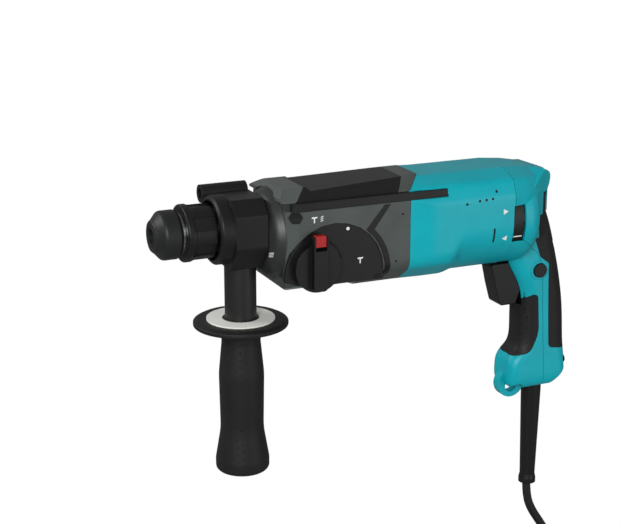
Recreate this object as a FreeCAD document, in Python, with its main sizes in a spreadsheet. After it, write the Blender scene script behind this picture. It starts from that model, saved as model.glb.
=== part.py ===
"""Corded rotary hammer, 24 mm class, as separate pieces in one frame.

Modelling frame: chuck axis along X with the nose at x = 0 and the motor towards +X, +Z up,
knob side towards -Y. Every finished piece is then shifted so that the origin lies in the
middle of the main grip. All sizes are millimetres.
"""
import FreeCAD, Part
import math
import os
import re

import Sketcher

VECTOR = FreeCAD.Vector
SPRING_TAPER = 13

SIZES = {
    # place of the frame's origin: the middle of the main grip
    "grip_x": 335, "grip_z": -110,
    # clearances
    "seam_gap": 0.3, "skin_gap": 0.03, "run_gap": 0.05, "loose_gap": 0.4, "slide_gap": 0.15,
    # chuck
    "nose_r": 8.5, "nose_x": 3, "bore_r": 5.05, "bore_guide": 13, "bore_relief": 0.2, "key_len": 24,
    "key_wide": 2.6,
    "key_high": 1.4, "cap_r": 19, "cap_len": 20.5, "cap_hole_r": 6.4, "sleeve_x": 23, "sleeve_len": 23.5,
    "sleeve_r": 21.2, "sleeve_rim_r": 22.3, "sleeve_rim": 5, "sleeve_wall": 3,
    "ball_r": 3.5, "ball_x": 30, "washer_t": 1.6, "ring_x": 9, "ring_t": 1.5, "ring_r": 10.2,
    "spring_wire": 1.6, "spring_turns": 3,
    # tool holder
    "journal_x": 46, "journal_r": 12, "barrel_x": 88, "barrel_r": 17.5, "barrel_end": 160,
    "cylinder_r": 13.5, "bolt_bore_x": 50, "bolt_bore_r": 7.3, "cylinder_x": 98,
    "bolt_tip_r": 4.6, "bolt_body_r": 7.2, "bolt_len": 44, "bolt_x": 44, "bolt_travel": 4,
    "striker_r": 10.4, "striker_len": 34, "striker_x": 104, "striker_tip_r": 6,
    # gears
    "spindle_teeth": 51, "pinion_teeth": 10, "counter_z": -29, "spindle_gear_x": 112,
    "spindle_gear_t": 12, "wheel_teeth": 26, "motor_pinion_teeth": 7, "motor_z": -11,
    "wheel_x": 192, "wheel_t": 8, "tooth_share": 0.36,
    # swash drive and piston
    "swash_x": 172, "hub_r": 12, "hub_t": 16, "swash_ring_r": 15.8, "swash_ring_t": 10,
    "arm_r": 3.2, "pin_r": 5.5, "pin_len": 17, "piston_x": 112,
    "piston_floor": 162, "piston_end": 178.5, "clevis_gap": 5,
    # bearings
    "front_bearing_x": 66, "front_bearing_t": 12, "front_bearing_r": 18, "seal_x": 57, "seal_t": 6,
    "bush_x": 150, "bush_t": 8, "bush_r": 21, "shaft_r": 5, "counter_front_x": 99,
    "counter_front_t": 7, "counter_front_r": 9.5, "plate_x": 183, "plate_t": 8, "counter_rear_r": 11,
    # gear housing
    "collar_x": 55, "collar_r": 21.5, "dome_x": 85, "case_x": 92, "case_end": 200, "case_half": 38,
    "case_top": 32.5, "case_low": -48, "band_low": -53, "case_skin": 3, "spindle_room_r": 27,
    "counter_room_r": 19.5, "stripe_low": 17, "stripe_high": 23, "cap_low_x": 104, "cap_rear_x": 120,
    "band_x": 160,
    "rib_low_x": 190, "rib_top_x": 203, "seam_top_x": 217,
    "stripe_proud": 0.9, "stripe_end": 232,
    # selector
    "knob_x": 119.5, "knob_z": -28, "knob_r": 19, "knob_reach": 26, "knob_bar": 12, "knob_disc_t": 4,
    "knob_bar_high": 9.5, "plate_cx": 135, "plate_cz": -37, "plate_r": 42, "plate_sink": 1,
    "red_len": 8, "red_travel": 3, "stem_r": 5,
    # motor housing
    "drum_r": 42, "drum_end": 322, "drum_wall": 3, "drum_inner_end": 306, "flange_x2": 230,
    "seam_x": 293, "slot_front": 292, "slot_rear": 303.5, "slot_low": -27, "slot_high": 3.5,
    "armature_r": 24, "stack_x": 236, "stack_len": 44, "stator_r": 38.9, "air_gap": 0.6,
    "fan_x": 218.2, "fan_t": 11, "fan_r": 33, "fan_blades": 14, "commutator_x": 288, "commutator_len": 16,
    "commutator_r": 11, "motor_front_x": 205, "motor_front_t": 8, "motor_front_r": 14,
    "motor_rear_x": 308, "motor_rear_t": 7, "motor_rear_r": 11, "shaft_end": 315,
    "ring_wheel_in": 34, "ring_skin": 1.4, "baffle_x": 229.6, "baffle_t": 1.8, "spigot_r": 34,
    # handle
    "grip_half": 17.5, "rubber_t": 3, "loop_half": 4, "loop_cx": 318.5, "loop_cz": -164.5,
    "loop_r": 12.7, "loop_hole_r": 5.6, "trigger_half": 9, "button_x": 333.8,
    "button_z": -61.5, "button_r": 6, "button_proud": 1.6, "boss_r": 8.4,
    # cord
    "guard_x": 341.5, "guard_top_r": 8.6, "guard_low_r": 6.6, "guard_top": -150, "guard_low": -262,
    "cord_r": 3.75,
    "coil_r": 41, "coil_thick": 27, "coil_x": 331, "coil_z": -384, "plug_top": -431, "plug_len": 52,
    "plug_r": 17.5,
    # side handle
    "column_x": 71.5, "column_r": 12.5, "guard_z": -74, "guard_r": 37.5, "guard_t": 5,
    "hand_low": -200.5, "hand_r": 18, "hand_waist_r": 15.5, "hand_flare_r": 21.5, "clamp_half": 27,
    "clamp_top": 25.5, "clamp_x": 58.5, "clamp_len": 26, "clamp_ring_x": 47, "clamp_ring_r": 27,
    "band_t": 1.6, "white_r": 27, "white_t": 1.2, "clamp_low": -30, "tie_r": 4, "gauge_r": 4.1,
    "gauge_y": 21, "gauge_z": 24,
    # small screws
    "screw_r": 2, "screw_head_r": 3.6, "screw_head": 3,
}

DERIVED = {
    "sleeve_end": "sleeve_x + sleeve_len",
    "gear_module": "-2 * counter_z / (spindle_teeth + pinion_teeth)",
    "motor_module": "2 * (motor_z - counter_z) / (wheel_teeth + motor_pinion_teeth)",
    "plate_end": "plate_x + plate_t",
    "stack_end": "stack_x + stack_len",
    "clamp_end": "clamp_x + clamp_len",
    "guard_under": "guard_z - guard_t",
}

DOC = FreeCAD.newDocument("RotaryHammer")
SHEET = DOC.addObject("Spreadsheet::Sheet", "Sizes")
NODES = []


def fill_sheet():
    """Write each driving size into its own row: its name, its value and its alias."""
    for row, (name, number) in enumerate(SIZES.items(), 1):
        SHEET.set(f"A{row}", name)
        SHEET.set(f"B{row}", str(number))
        SHEET.setAlias(f"B{row}", name)
    DOC.recompute()


def formula(text):
    """Spell a formula out in cells of the sheet."""
    def spell(match):
        word = match.group(0)
        if word in DERIVED:
            return "(" + formula(DERIVED[word]) + ")"
        return "Sizes." + word if word in SIZES else word
    return re.sub(r"[A-Za-z_]\w*", spell, str(text))


def value(text):
    """The number that a formula gives now."""
    return float(SHEET.evalExpression(formula(text)))


def bind(thing, prop, text):
    """Tie a property to a formula."""
    thing.setExpression(prop, formula(text))


def finish(label, thing):
    """Make a thing one of the part's nodes, in the part's own frame."""
    thing.Label = label
    bind(thing, "Placement.Base.x", "-grip_x")
    bind(thing, "Placement.Base.z", "-grip_z")
    NODES.append(thing)
    return thing


# ---------------------------------------------------------------- sketches and features

PLANES = {"side": "XZ_Plane", "plan": "XY_Plane", "section": "YZ_Plane"}


def body(name):
    return DOC.addObject("PartDesign::Body", name)


def sketch_on(holder, name, plane, shift=("0", "0", "0")):
    """A sketch on one of the body's own planes; the shift is along its two axes and its normal."""
    sketch = holder.newObject("Sketcher::SketchObject", name)
    face = next(f for f in holder.Origin.OriginFeatures if f.Role == PLANES[plane])
    sketch.AttachmentSupport = [(face, "")]
    sketch.MapMode = "FlatFace"
    for axis, text in zip("xyz", shift):
        bind(sketch, f"AttachmentOffset.Base.{axis}", text)
    return sketch


def pin_point(sketch, geometry, end, place):
    """Hold a point of the sketch at its two formulas."""
    for kind, text in zip(("DistanceX", "DistanceY"), place):
        index = sketch.addConstraint(Sketcher.Constraint(kind, -1, 1, geometry, end, value(text)))
        bind(sketch, f"Constraints[{index}]", text)


def outline(sketch, points):
    """A closed outline. A point is (u, v) for a sharp corner or (u, v, radius) for a round one."""
    corners = [VECTOR(value(u), value(v), 0) for u, v, *_ in points]
    count = len(points)
    ends = []
    for i, (_, _, *radius) in enumerate(points):
        here, before, after = corners[i], corners[i - 1], corners[(i + 1) % count]
        if not radius:
            ends.append((here, here, None))
            continue
        size = value(radius[0])
        inward, outward = (here - before).normalize(), (after - here).normalize()
        turn = math.atan2(inward.x * outward.y - inward.y * outward.x, inward.dot(outward))
        reach = size * abs(math.tan(turn / 2))
        side = 1 if turn > 0 else -1
        start, stop = here - inward * reach, here + outward * reach
        centre = start + VECTOR(-inward.y, inward.x, 0) * side * size
        ends.append((start, stop, (centre, side, size)))
    lines = [sketch.addGeometry(Part.LineSegment(ends[i][1], ends[(i + 1) % count][0]))
             for i in range(count)]
    for i, (u, v, *radius) in enumerate(points):
        before, after = lines[i - 1], lines[i]
        if not radius:
            sketch.addConstraint(Sketcher.Constraint("Coincident", before, 2, after, 1))
            pin_point(sketch, after, 1, (u, v))
            continue
        start, stop, (centre, side, size) = ends[i]
        angles = [math.atan2(p.y - centre.y, p.x - centre.x) for p in (start, stop)]
        if side < 0:
            angles.reverse()
        circle = Part.Circle(centre, VECTOR(0, 0, 1), size)
        arc = sketch.addGeometry(Part.ArcOfCircle(circle, *angles))
        first, second = (1, 2) if side > 0 else (2, 1)
        sketch.addConstraint(Sketcher.Constraint("Tangent", before, 2, arc, first))
        sketch.addConstraint(Sketcher.Constraint("Tangent", after, 1, arc, second))
        index = sketch.addConstraint(Sketcher.Constraint("Radius", arc, size))
        bind(sketch, f"Constraints[{index}]", radius[0])
        corner = sketch.addGeometry(Part.Point(corners[i]), True)
        pin_point(sketch, corner, 1, (u, v))
        for line in (before, after):
            sketch.addConstraint(Sketcher.Constraint("PointOnObject", corner, 1, line))


def turned(name, points, axis_z="0"):
    """A piece turned about an axis along X; the points are (x, radius)."""
    holder = body(name)
    sketch = sketch_on(holder, name + "_profile", "side", ("0", axis_z, "0"))
    outline(sketch, points)
    spin = holder.newObject("PartDesign::Revolution", name + "_turned")
    spin.Profile = sketch
    spin.ReferenceAxis = (sketch, ["H_Axis"])
    spin.Angle = 360
    return holder


def pad(holder, name, plane, points, low, high, shift=("0", "0")):
    """Add a prism between two places along the plane's global normal (-Y, +Z or +X side)."""
    start = f"-({high})" if plane == "side" else low
    sketch = sketch_on(holder, name + "_outline", plane, (*shift, start))
    outline(sketch, points)
    feature = holder.newObject("PartDesign::Pad", name + "_pad")
    feature.Profile = sketch
    bind(feature, "Length", f"({high}) - ({low})")
    return feature


def prism(name, plane, points, low, high, shift=("0", "0")):
    """A piece that is one prism."""
    holder = body(name)
    pad(holder, name, plane, points, low, high, shift)
    return holder


def round_ends(holder, radius):
    """Round the edges of a prism's two end faces."""
    base = holder.Tip
    DOC.recompute()
    faces = len(base.Shape.Faces)
    feature = holder.newObject("PartDesign::Fillet", holder.Name + "_rounding")
    feature.Base = (base, [f"Face{faces - 1}", f"Face{faces}"])
    bind(feature, "Radius", radius)
    return holder


def around(holder, feature, count, axis):
    """Repeat a feature of a body round its axis and make the pattern its result."""
    pattern = holder.newObject("PartDesign::PolarPattern", holder.Name + "_pattern")
    pattern.Originals = [feature]
    pattern.Axis = (axis, ["H_Axis"])
    pattern.Angle = 360
    bind(pattern, "Occurrences", count)
    holder.Tip = pattern
    return holder


def gear(name, teeth, module, low, high, hole, axis_z):
    """A spur gear along X with a hole of the given radius, one tooth straight up."""
    root, tip = f"{module} * ({teeth} / 2 - 1.1)", f"{module} * ({teeth} / 2 + 0.8)"
    wide = f"{module} * 3.1416 * tooth_share"
    if hole == "0":
        profile = [(low, "0"), (high, "0"), (high, root), (low, root)]
    else:
        profile = [(low, hole), (high, hole), (high, root), (low, root)]
    holder = turned(name, profile, axis_z)
    tooth = [(f"-0.72 * {wide}", f"{root} * 0.93"), (f"0.72 * {wide}", f"{root} * 0.93"),
             (f"0.5 * {wide}", f"{module} * {teeth} / 2"), (f"0.24 * {wide}", tip),
             (f"-0.24 * {wide}", tip), (f"-0.5 * {wide}", f"{module} * {teeth} / 2")]
    feature = pad(holder, name + "_tooth", "section", tooth, low, high, ("0", axis_z))
    return around(holder, feature, teeth, holder.getObject(name + "_profile"))


# ---------------------------------------------------------------- simple solids and booleans

TURNS = {"x": FreeCAD.Rotation(VECTOR(0, 1, 0), 90), "y": FreeCAD.Rotation(VECTOR(1, 0, 0), -90),
         "z": FreeCAD.Rotation()}
OTHERS = {"x": "yz", "y": "xz", "z": "xy"}


def place(thing, **axes):
    for axis, text in axes.items():
        bind(thing, f"Placement.Base.{axis}", text)


def block(name, x, y, z):
    """A box from (low, high) formulas along each axis."""
    box = DOC.addObject("Part::Box", name)
    for prop, (low, high) in zip(("Length", "Width", "Height"), (x, y, z)):
        bind(box, prop, f"({high}) - ({low})")
    place(box, x=x[0], y=y[0], z=z[0])
    return box


def rod(name, axis, radius, span, centre):
    """A cylinder along an axis between two places; the centre gives its other two coordinates."""
    cylinder = DOC.addObject("Part::Cylinder", name)
    cylinder.Placement = FreeCAD.Placement(VECTOR(), TURNS[axis])
    bind(cylinder, "Radius", radius)
    bind(cylinder, "Height", f"({span[1]}) - ({span[0]})")
    place(cylinder, **{axis: span[0]}, **dict(zip(OTHERS[axis], centre)))
    return cylinder


def ball(name, radius, x, y, z):
    sphere = DOC.addObject("Part::Sphere", name)
    bind(sphere, "Radius", radius)
    place(sphere, x=x, y=y, z=z)
    return sphere


def join(name, *things):
    result = DOC.addObject("Part::MultiFuse", name)
    result.Shapes = list(things)
    return result


def share(name, *things):
    result = DOC.addObject("Part::MultiCommon", name)
    result.Shapes = list(things)
    return result


def cut(name, base, *tools):
    result = DOC.addObject("Part::Cut", name)
    result.Base = base
    result.Tool = tools[0] if len(tools) == 1 else join(name + "_tools", *tools)
    return result


def carve(name, base, *tools):
    """Take the tools out of the base one after another."""
    result = base
    for step, tool in enumerate(tools, 1):
        carved = DOC.addObject("Part::Cut", name if step == len(tools) else f"{name}_step_{step}")
        carved.Base, carved.Tool = result, tool
        result = carved
    return result


def group(name, *things):
    """Separate solids that belong to one node."""
    result = DOC.addObject("Part::Compound", name)
    result.Links = list(things)
    return result


def ring(name, span, outer, inner, axis_z="0"):
    return turned(name, [(span[0], inner), (span[1], inner), (span[1], outer), (span[0], outer)], axis_z)


# ---------------------------------------------------------------- chuck and tool holder

def make_chuck():
    """Cap, sliding sleeve with its washer and spring, and the two locking balls."""
    cap = [("0", "cap_hole_r"), ("nose_x", "cap_hole_r"), ("nose_x", "nose_r"), ("ring_x", "nose_r"),
           ("ring_x", "ring_r"), ("ring_x + ring_t", "ring_r"), ("ring_x + ring_t", "nose_r"),
           ("cap_len", "nose_r"), ("cap_len", "cap_r - 2"), ("cap_len - 2.5", "cap_r", "1"),
           ("nose_x + 4", "cap_r", "4"), ("nose_x - 0.8", "cap_r * 0.72", "2.5"),
           ("0", "cap_r * 0.62", "0.6"),
           ("0", "cap_r * 0.46"), ("0.7", "cap_r * 0.46"), ("0.7", "cap_r * 0.41"), ("0", "cap_r * 0.41")]
    finish("chuck_cap", turned("chuck_cap", cap))
    snap = ring("cap_ring", ("ring_x", "ring_x + ring_t"), "ring_r", "nose_r - 0.6")
    washer = ring("guide_washer", ("sleeve_x - washer_t - 0.4", "sleeve_x - 0.4"), "sleeve_r - 5", "nose_r")
    finish("chuck_rings", group("chuck_rings", snap, washer))
    balls = [ball(f"ball_{side}", "ball_r", "ball_x", "0", f"{sign} * (nose_r - 0.4)")
             for side, sign in (("upper", 1), ("lower", -1))]
    finish("locking_balls", group("locking_balls", *balls))
    hold = "nose_r + ball_r - 0.4 + loose_gap"
    grip = [("sleeve_x", f"{hold} + ball_r"), ("ball_x - ball_r", f"{hold} + ball_r"),
            ("ball_x - ball_r", hold), ("ball_x + ball_r + loose_gap", hold),
            ("ball_x + ball_r + loose_gap", "sleeve_r - sleeve_wall"),
            ("sleeve_end", "sleeve_r - sleeve_wall"),
            ("sleeve_end", "sleeve_r", "0.8"), ("sleeve_x + sleeve_rim + 3", "sleeve_r", "2"),
            ("sleeve_x + sleeve_rim", "sleeve_rim_r", "1.5"), ("sleeve_x", "sleeve_rim_r", "1.5")]
    sleeve = turned("chuck_sleeve", grip)
    hollow = [("0", "sleeve_r - 1.7"), ("26", "sleeve_r - 1.7"), ("26", "sleeve_r + 4"),
              ("0", "sleeve_r + 4")]
    flat = sleeve.newObject("Sketcher::SketchObject", "finger_hollow_outline")
    flat.AttachmentSupport = [(next(f for f in sleeve.Origin.OriginFeatures if f.Role == "XZ_Plane"), "")]
    flat.MapMode = "FlatFace"
    bind(flat, "AttachmentOffset.Base.x", "sleeve_x + sleeve_rim")
    bind(flat, "AttachmentOffset.Base.z", "5.5")
    outline(flat, hollow)
    dent = sleeve.newObject("PartDesign::Pocket", "finger_hollow")
    dent.Profile = flat
    bind(dent, "Length", "11")
    around(sleeve, dent, "6", sleeve.getObject("chuck_sleeve_profile"))
    finish("chuck_sleeve", sleeve)
    finish("chuck_spring", make_spring())


def make_spring():
    """The conical spring that holds the sleeve forward, seated on the tool holder's shoulder."""
    holder = body("chuck_spring")
    start = "ball_x + ball_r + loose_gap + spring_wire / 2 + 0.2"
    sketch = sketch_on(holder, "spring_wire_section", "side")
    large = "journal_r + 1.6"
    outline(sketch, [(f"{start} + spring_wire / 2", f"{large} + spring_wire / 2"),
                     (f"{start} - spring_wire / 2", f"{large} + spring_wire / 2"),
                     (f"{start} - spring_wire / 2", f"{large} - spring_wire / 2"),
                     (f"{start} + spring_wire / 2", f"{large} - spring_wire / 2")])
    coil = holder.newObject("PartDesign::AdditiveHelix", "spring_coil")
    coil.Profile = sketch
    coil.ReferenceAxis = (sketch, ["H_Axis"])
    coil.Mode = "height-turns-angle"
    bind(coil, "Height", f"journal_x - spring_wire / 2 - 0.2 - ({start})")
    bind(coil, "Turns", "spring_turns")
    coil.Angle = -SPRING_TAPER
    return holder


def make_tool_holder():
    """One long hollow spindle: nose, journal and the barrel that the piston runs in."""
    guide_end, relief = "nose_x + bore_guide", "bore_r + bore_relief"
    profile = [("nose_x", "bore_r"), (guide_end, "bore_r"), (guide_end, relief), ("bolt_bore_x", relief),
               ("bolt_bore_x", "bolt_bore_r"),
               ("cylinder_x - 4", "bolt_bore_r"), ("cylinder_x", "cylinder_r"), ("barrel_end", "cylinder_r"),
               ("barrel_end", "barrel_r"), ("barrel_x", "barrel_r"), ("barrel_x", "journal_r"),
               ("journal_x", "journal_r"), ("journal_x", "nose_r"), ("ring_x + ring_t", "nose_r"),
               ("ring_x + ring_t", "nose_r - 0.6"), ("ring_x", "nose_r - 0.6"), ("ring_x", "nose_r"),
               ("nose_x", "nose_r")]
    windows = rod("ball_windows", "z", "ball_r + slide_gap", ("-nose_r - 5", "nose_r + 5"), ("ball_x", "0"))
    holder = cut("holder_drilled", turned("holder_turned", profile), windows)
    keys = []
    for side, sign in (("near", -1), ("far", 1)):
        edges = sorted((f"{sign} * (bore_r - key_high)", f"{sign} * (bore_r + 0.8)"), key=value)
        keys.append(block(f"drive_key_{side}", ("nose_x + bore_guide", "nose_x + bore_guide + key_len"),
                          edges,
                          ("-key_wide / 2", "key_wide / 2")))
    finish("tool_holder", join("tool_holder", holder, *keys))
    finish("oil_seal", ring("oil_seal", ("seal_x", "seal_x + seal_t"), "front_bearing_r",
                            "journal_r + run_gap"))
    front = bearing("holder_bearing", "front_bearing_x", "front_bearing_t", "front_bearing_r", "journal_r",
                    "0")
    bush = ring("holder_bush", ("bush_x", "bush_x + bush_t"), "bush_r", "barrel_r + run_gap")
    finish("holder_bearings", group("holder_bearings", front, bush))
    finish("spindle_gear", gear("spindle_gear", "spindle_teeth", "gear_module", "spindle_gear_x",
                                "spindle_gear_x + spindle_gear_t", "barrel_r", "0"))


def bearing(name, low, thick, outer, inner, axis_z):
    """A sealed bearing drawn as one ring with its seal set back on both faces."""
    high, dip = f"{low} + {thick}", "0.8"
    inside, outside = f"{inner} + run_gap + 1.4", f"{outer} - 1.8"
    profile = [(low, f"{inner} + run_gap"), (high, f"{inner} + run_gap"), (high, inside),
               (f"{high} - {dip}", inside), (f"{high} - {dip}", outside), (high, outside), (high, outer),
               (low, outer), (low, outside), (f"{low} + {dip}", outside), (f"{low} + {dip}", inside),
               (low, inside)]
    return turned(name, profile, axis_z)


def make_hammer():
    """Impact bolt, striker, piston with its clevis and cross pin."""
    bolt = [("bolt_x", "0"), ("bolt_x", "bolt_tip_r - 1"), ("bolt_x + 1", "bolt_tip_r"),
            ("bolt_bore_x + bolt_travel + 2", "bolt_tip_r"), ("bolt_bore_x + bolt_travel + 6", "bolt_body_r"),
            ("bolt_x + bolt_len - 14", "bolt_body_r"), ("bolt_x + bolt_len - 11", "bolt_body_r - 2"),
            ("bolt_x + bolt_len", "bolt_body_r - 2"), ("bolt_x + bolt_len", "0")]
    finish("impact_bolt", turned("impact_bolt", bolt))
    striker = [("striker_x", "0"), ("striker_x", "striker_tip_r"), ("striker_x + 9", "striker_tip_r"),
               ("striker_x + 12", "striker_r"), ("striker_x + 22", "striker_r"),
               ("striker_x + 22", "striker_r - 1.2"),
               ("striker_x + 25", "striker_r - 1.2"), ("striker_x + 25", "striker_r"),
               ("striker_x + striker_len", "striker_r"), ("striker_x + striker_len", "0")]
    finish("striker", turned("striker", striker))
    outer = "cylinder_r - run_gap"
    cup = [("piston_x", "striker_r + run_gap"), ("piston_floor - 4", "striker_r + run_gap"),
           ("piston_floor - 4", "0"),
           ("piston_end", "0"), ("piston_end", outer), ("piston_x", outer)]
    slot = block("clevis_slot", ("piston_floor", "piston_end + 1"), ("-clevis_gap", "clevis_gap"),
                 ("-cylinder_r - 1", "cylinder_r + 1"))
    pin_hole = rod("clevis_hole", "y", "pin_r + run_gap", ("-cylinder_r - 1", "cylinder_r + 1"),
                   ("swash_x", "0"))
    finish("piston", cut("piston", turned("piston_cup", cup), slot, pin_hole))
    hole = rod("pin_cross_hole", "z", "arm_r + slide_gap", ("-pin_r - 1", "pin_r + 1"), ("swash_x", "0"))
    pin = rod("pin_rod", "y", "pin_r", ("-pin_len / 2", "pin_len / 2"), ("swash_x", "0"))
    finish("piston_pin", cut("piston_pin", pin, hole))


def make_swash():
    """The wobble drive: a hub on the countershaft and the ring with its arm."""
    centre = ("swash_x", "0", "counter_z")
    slab = rod("hub_slab", "x", "hub_r + 1", ("swash_x - hub_t / 2", "swash_x + hub_t / 2"),
               ("0", "counter_z"))
    hub_hole = rod("hub_hole", "x", "shaft_r", ("swash_x - hub_t", "swash_x + hub_t"), ("0", "counter_z"))
    finish("swash_hub", cut("swash_hub", share("hub_ball", ball("hub_sphere", "hub_r", *centre), slab),
                            hub_hole))
    tyre = [("swash_x - swash_ring_t / 2", "hub_r * 0.8"), ("swash_x + swash_ring_t / 2", "hub_r * 0.8"),
            ("swash_x + swash_ring_t / 2", "swash_ring_r", "1"),
            ("swash_x - swash_ring_t / 2", "swash_ring_r", "1")]
    arm = rod("swash_arm", "z", "arm_r", ("counter_z + hub_r + 2", "pin_r + 1"), ("swash_x", "0"))
    seat = ball("swash_seat", "hub_r + run_gap", *centre)
    finish("swash_ring", join("swash_ring", cut("swash_tyre_bored", turned("swash_tyre", tyre, "counter_z"),
                                                seat), arm))


def make_countershaft():
    """The lower shaft with its pinion, its big gear and its two bearings."""
    thin = "shaft_r - 1.2"
    shaft = [("counter_front_x", "0"), ("counter_front_x", thin), ("spindle_gear_x - 2", thin),
             ("spindle_gear_x - 2", "gear_module * 3.9"), ("spindle_gear_x + spindle_gear_t + 2",
                                                           "gear_module * 3.9"),
             ("spindle_gear_x + spindle_gear_t + 2", "shaft_r"), ("wheel_x + wheel_t", "shaft_r"),
             ("wheel_x + wheel_t", "0")]
    pinion = gear("counter_pinion", "pinion_teeth", "gear_module", "spindle_gear_x - 1",
                  "spindle_gear_x + spindle_gear_t + 1", "0", "counter_z")
    finish("countershaft", join("countershaft", turned("counter_rod", shaft, "counter_z"), pinion))
    finish("reduction_gear", gear("reduction_gear", "wheel_teeth", "motor_module", "wheel_x",
                                  "wheel_x + wheel_t", "shaft_r", "counter_z"))
    front = bearing("counter_bearing_front", "counter_front_x", "counter_front_t", "counter_front_r", thin,
                    "counter_z")
    rear = bearing("counter_bearing_rear", "plate_x", "plate_t", "counter_rear_r", "shaft_r", "counter_z")
    finish("counter_bearings", group("counter_bearings", front, rear))


# ---------------------------------------------------------------- motor

def make_motor():
    """Armature, fan, field and the turning brush carrier."""
    shaft = [("wheel_x - 1", "0"), ("wheel_x - 1", "motor_module * 2.3"),
             ("wheel_x + wheel_t + 2", "motor_module * 2.3"),
             ("wheel_x + wheel_t + 2", "shaft_r"), ("motor_rear_x", "shaft_r"),
             ("motor_rear_x", "shaft_r - 1"),
             ("shaft_end", "shaft_r - 1"), ("shaft_end", "0")]
    pinion = gear("motor_pinion", "motor_pinion_teeth", "motor_module", "wheel_x - 1",
                  "wheel_x + wheel_t + 1",
                  "0", "motor_z")
    finish("armature_shaft", join("armature_shaft", turned("armature_rod", shaft, "motor_z"), pinion))
    core = ring("armature_core", ("stack_x", "stack_end"), "armature_r", "shaft_r", "motor_z")
    add_slots(core, "armature_slot", "armature_r", "3", "4.5", "12", ("stack_x", "stack_end"))
    finish("armature_core", core)
    drum = ring("commutator", ("commutator_x", "commutator_x + commutator_len"), "commutator_r", "shaft_r",
                "motor_z")
    add_slots(drum, "commutator_slot", "commutator_r", "0.5", "1", "16",
              ("commutator_x", "commutator_x + commutator_len"))
    finish("commutator", drum)
    make_fan()
    front = bearing("armature_bearing_front", "motor_front_x", "motor_front_t", "motor_front_r", "shaft_r",
                    "motor_z")
    rear = bearing("armature_bearing_rear", "motor_rear_x + 0.2", "motor_rear_t - 0.4", "motor_rear_r",
                   "shaft_r - 1",
                   "motor_z")
    finish("armature_bearings", group("armature_bearings", front, rear))
    make_field()
    make_brushes()


def add_slots(holder, name, outer, wide, deep, count, span):
    """Cut straight slots round the outside of a turned piece."""
    sketch = sketch_on(holder, name + "_outline", "section", ("0", "motor_z", span[1]))
    outline(sketch, [(f"-{wide} / 2", f"{outer} - {deep}"), (f"{wide} / 2", f"{outer} - {deep}"),
                     (f"{wide} / 2", f"{outer} + 1"), (f"-{wide} / 2", f"{outer} + 1")])
    slot = holder.newObject("PartDesign::Pocket", name)
    slot.Profile = sketch
    bind(slot, "Length", f"({span[1]}) - ({span[0]})")
    around(holder, slot, count, holder.getObject(holder.Name + "_profile"))


def make_fan():
    hub = [("fan_x", "shaft_r"), ("fan_x + fan_t", "shaft_r"), ("fan_x + fan_t", "shaft_r + 4"),
           ("fan_x + 2", "shaft_r + 7"), ("fan_x + 2", "fan_r"), ("fan_x", "fan_r")]
    holder = turned("fan", hub, "motor_z")
    blade = [("-0.8", "shaft_r + 3"), ("0.8", "shaft_r + 3"), ("3.8", "fan_r - 0.6"), ("2.2", "fan_r - 0.6")]
    feature = pad(holder, "fan_blade", "section", blade, "fan_x + 1", "fan_x + fan_t - 1", ("0", "motor_z"))
    finish("fan", around(holder, feature, "fan_blades", holder.getObject("fan_profile")))


def make_field():
    """The stack of field plates with its two pole shoes, and the two coils around them."""
    inner = "armature_r + air_gap"
    stack = ring("stator_ring", ("stack_x", "stack_end"), "stator_r", "stator_r - 5", "motor_z")
    poles = ring("pole_ring", ("stack_x", "stack_end"), "stator_r - 4", inner, "motor_z")
    upper = block("pole_upper", ("stack_x", "stack_end"), ("-13", "13"), ("motor_z", "motor_z + stator_r"))
    lower = block("pole_lower", ("stack_x", "stack_end"), ("-13", "13"), ("motor_z - stator_r", "motor_z"))
    finish("field_stator", join("field_stator", stack, share("pole_shoes", poles,
                                                             join("pole_zone", upper, lower))))
    coils = []
    for side, sign in (("near", -1), ("far", 1)):
        room = sorted((f"{sign} * 13.4", f"{sign} * stator_r"), key=value)
        zone = block(f"coil_zone_{side}", ("stack_x - 4", "stack_end + 4"), room,
                     ("motor_z - 14", "motor_z + 14"))
        wound = ring(f"coil_ring_{side}", ("stack_x - 4", "stack_end + 4"), "stator_r - 5.4",
                     f"{inner} + 0.3", "motor_z")
        coils.append(share(f"coil_{side}", wound, zone))
    finish("field_coils", group("field_coils", *coils))


def make_brushes():
    """The brush carrier turns a little about the motor axis; its rim shows in the side slots."""
    face = "drum_r - ring_skin - 0.3"
    wheel = [("slot_front + 0.4", "ring_wheel_in"), ("slot_rear - 0.4", "ring_wheel_in"),
             ("slot_rear - 0.4", face, "0.6"),
             ("slot_front + 0.4", face, "0.6")]
    holders, brushes, gaps = [], [], []
    for side, sign in (("near", -1), ("far", 1)):
        out = sorted((f"{sign} * (commutator_r + 1.5)", f"{sign} * (ring_wheel_in + 2)"), key=value)
        along = ("slot_front + 0.6", "slot_rear - 0.8")
        case = block(f"brush_case_{side}", along, out, ("motor_z - 5", "motor_z + 5"))
        carbon = sorted((f"{sign} * (commutator_r + 0.1)", f"{sign} * (ring_wheel_in - 4)"), key=value)
        inside = ("slot_front + 2", "slot_rear - 2.2")
        gaps.append(block(f"brush_room_{side}", along, out, ("motor_z - 5", "motor_z + 5")))
        channel = block(f"brush_channel_{side}", inside, carbon, ("motor_z - 3.4", "motor_z + 3.4"))
        holders.append(cut(f"brush_holder_{side}", case, channel))
        brushes.append(block(f"carbon_{side}", inside, carbon, ("motor_z - 3.4", "motor_z + 3.4")))
    finish("reversing_ring", cut("reversing_ring", turned("reversing_wheel", wheel, "motor_z"), *gaps))
    finish("brush_holders", group("brush_holders", *holders))
    finish("carbon_brushes", group("carbon_brushes", *brushes))


# ---------------------------------------------------------------- gear housing

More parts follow.
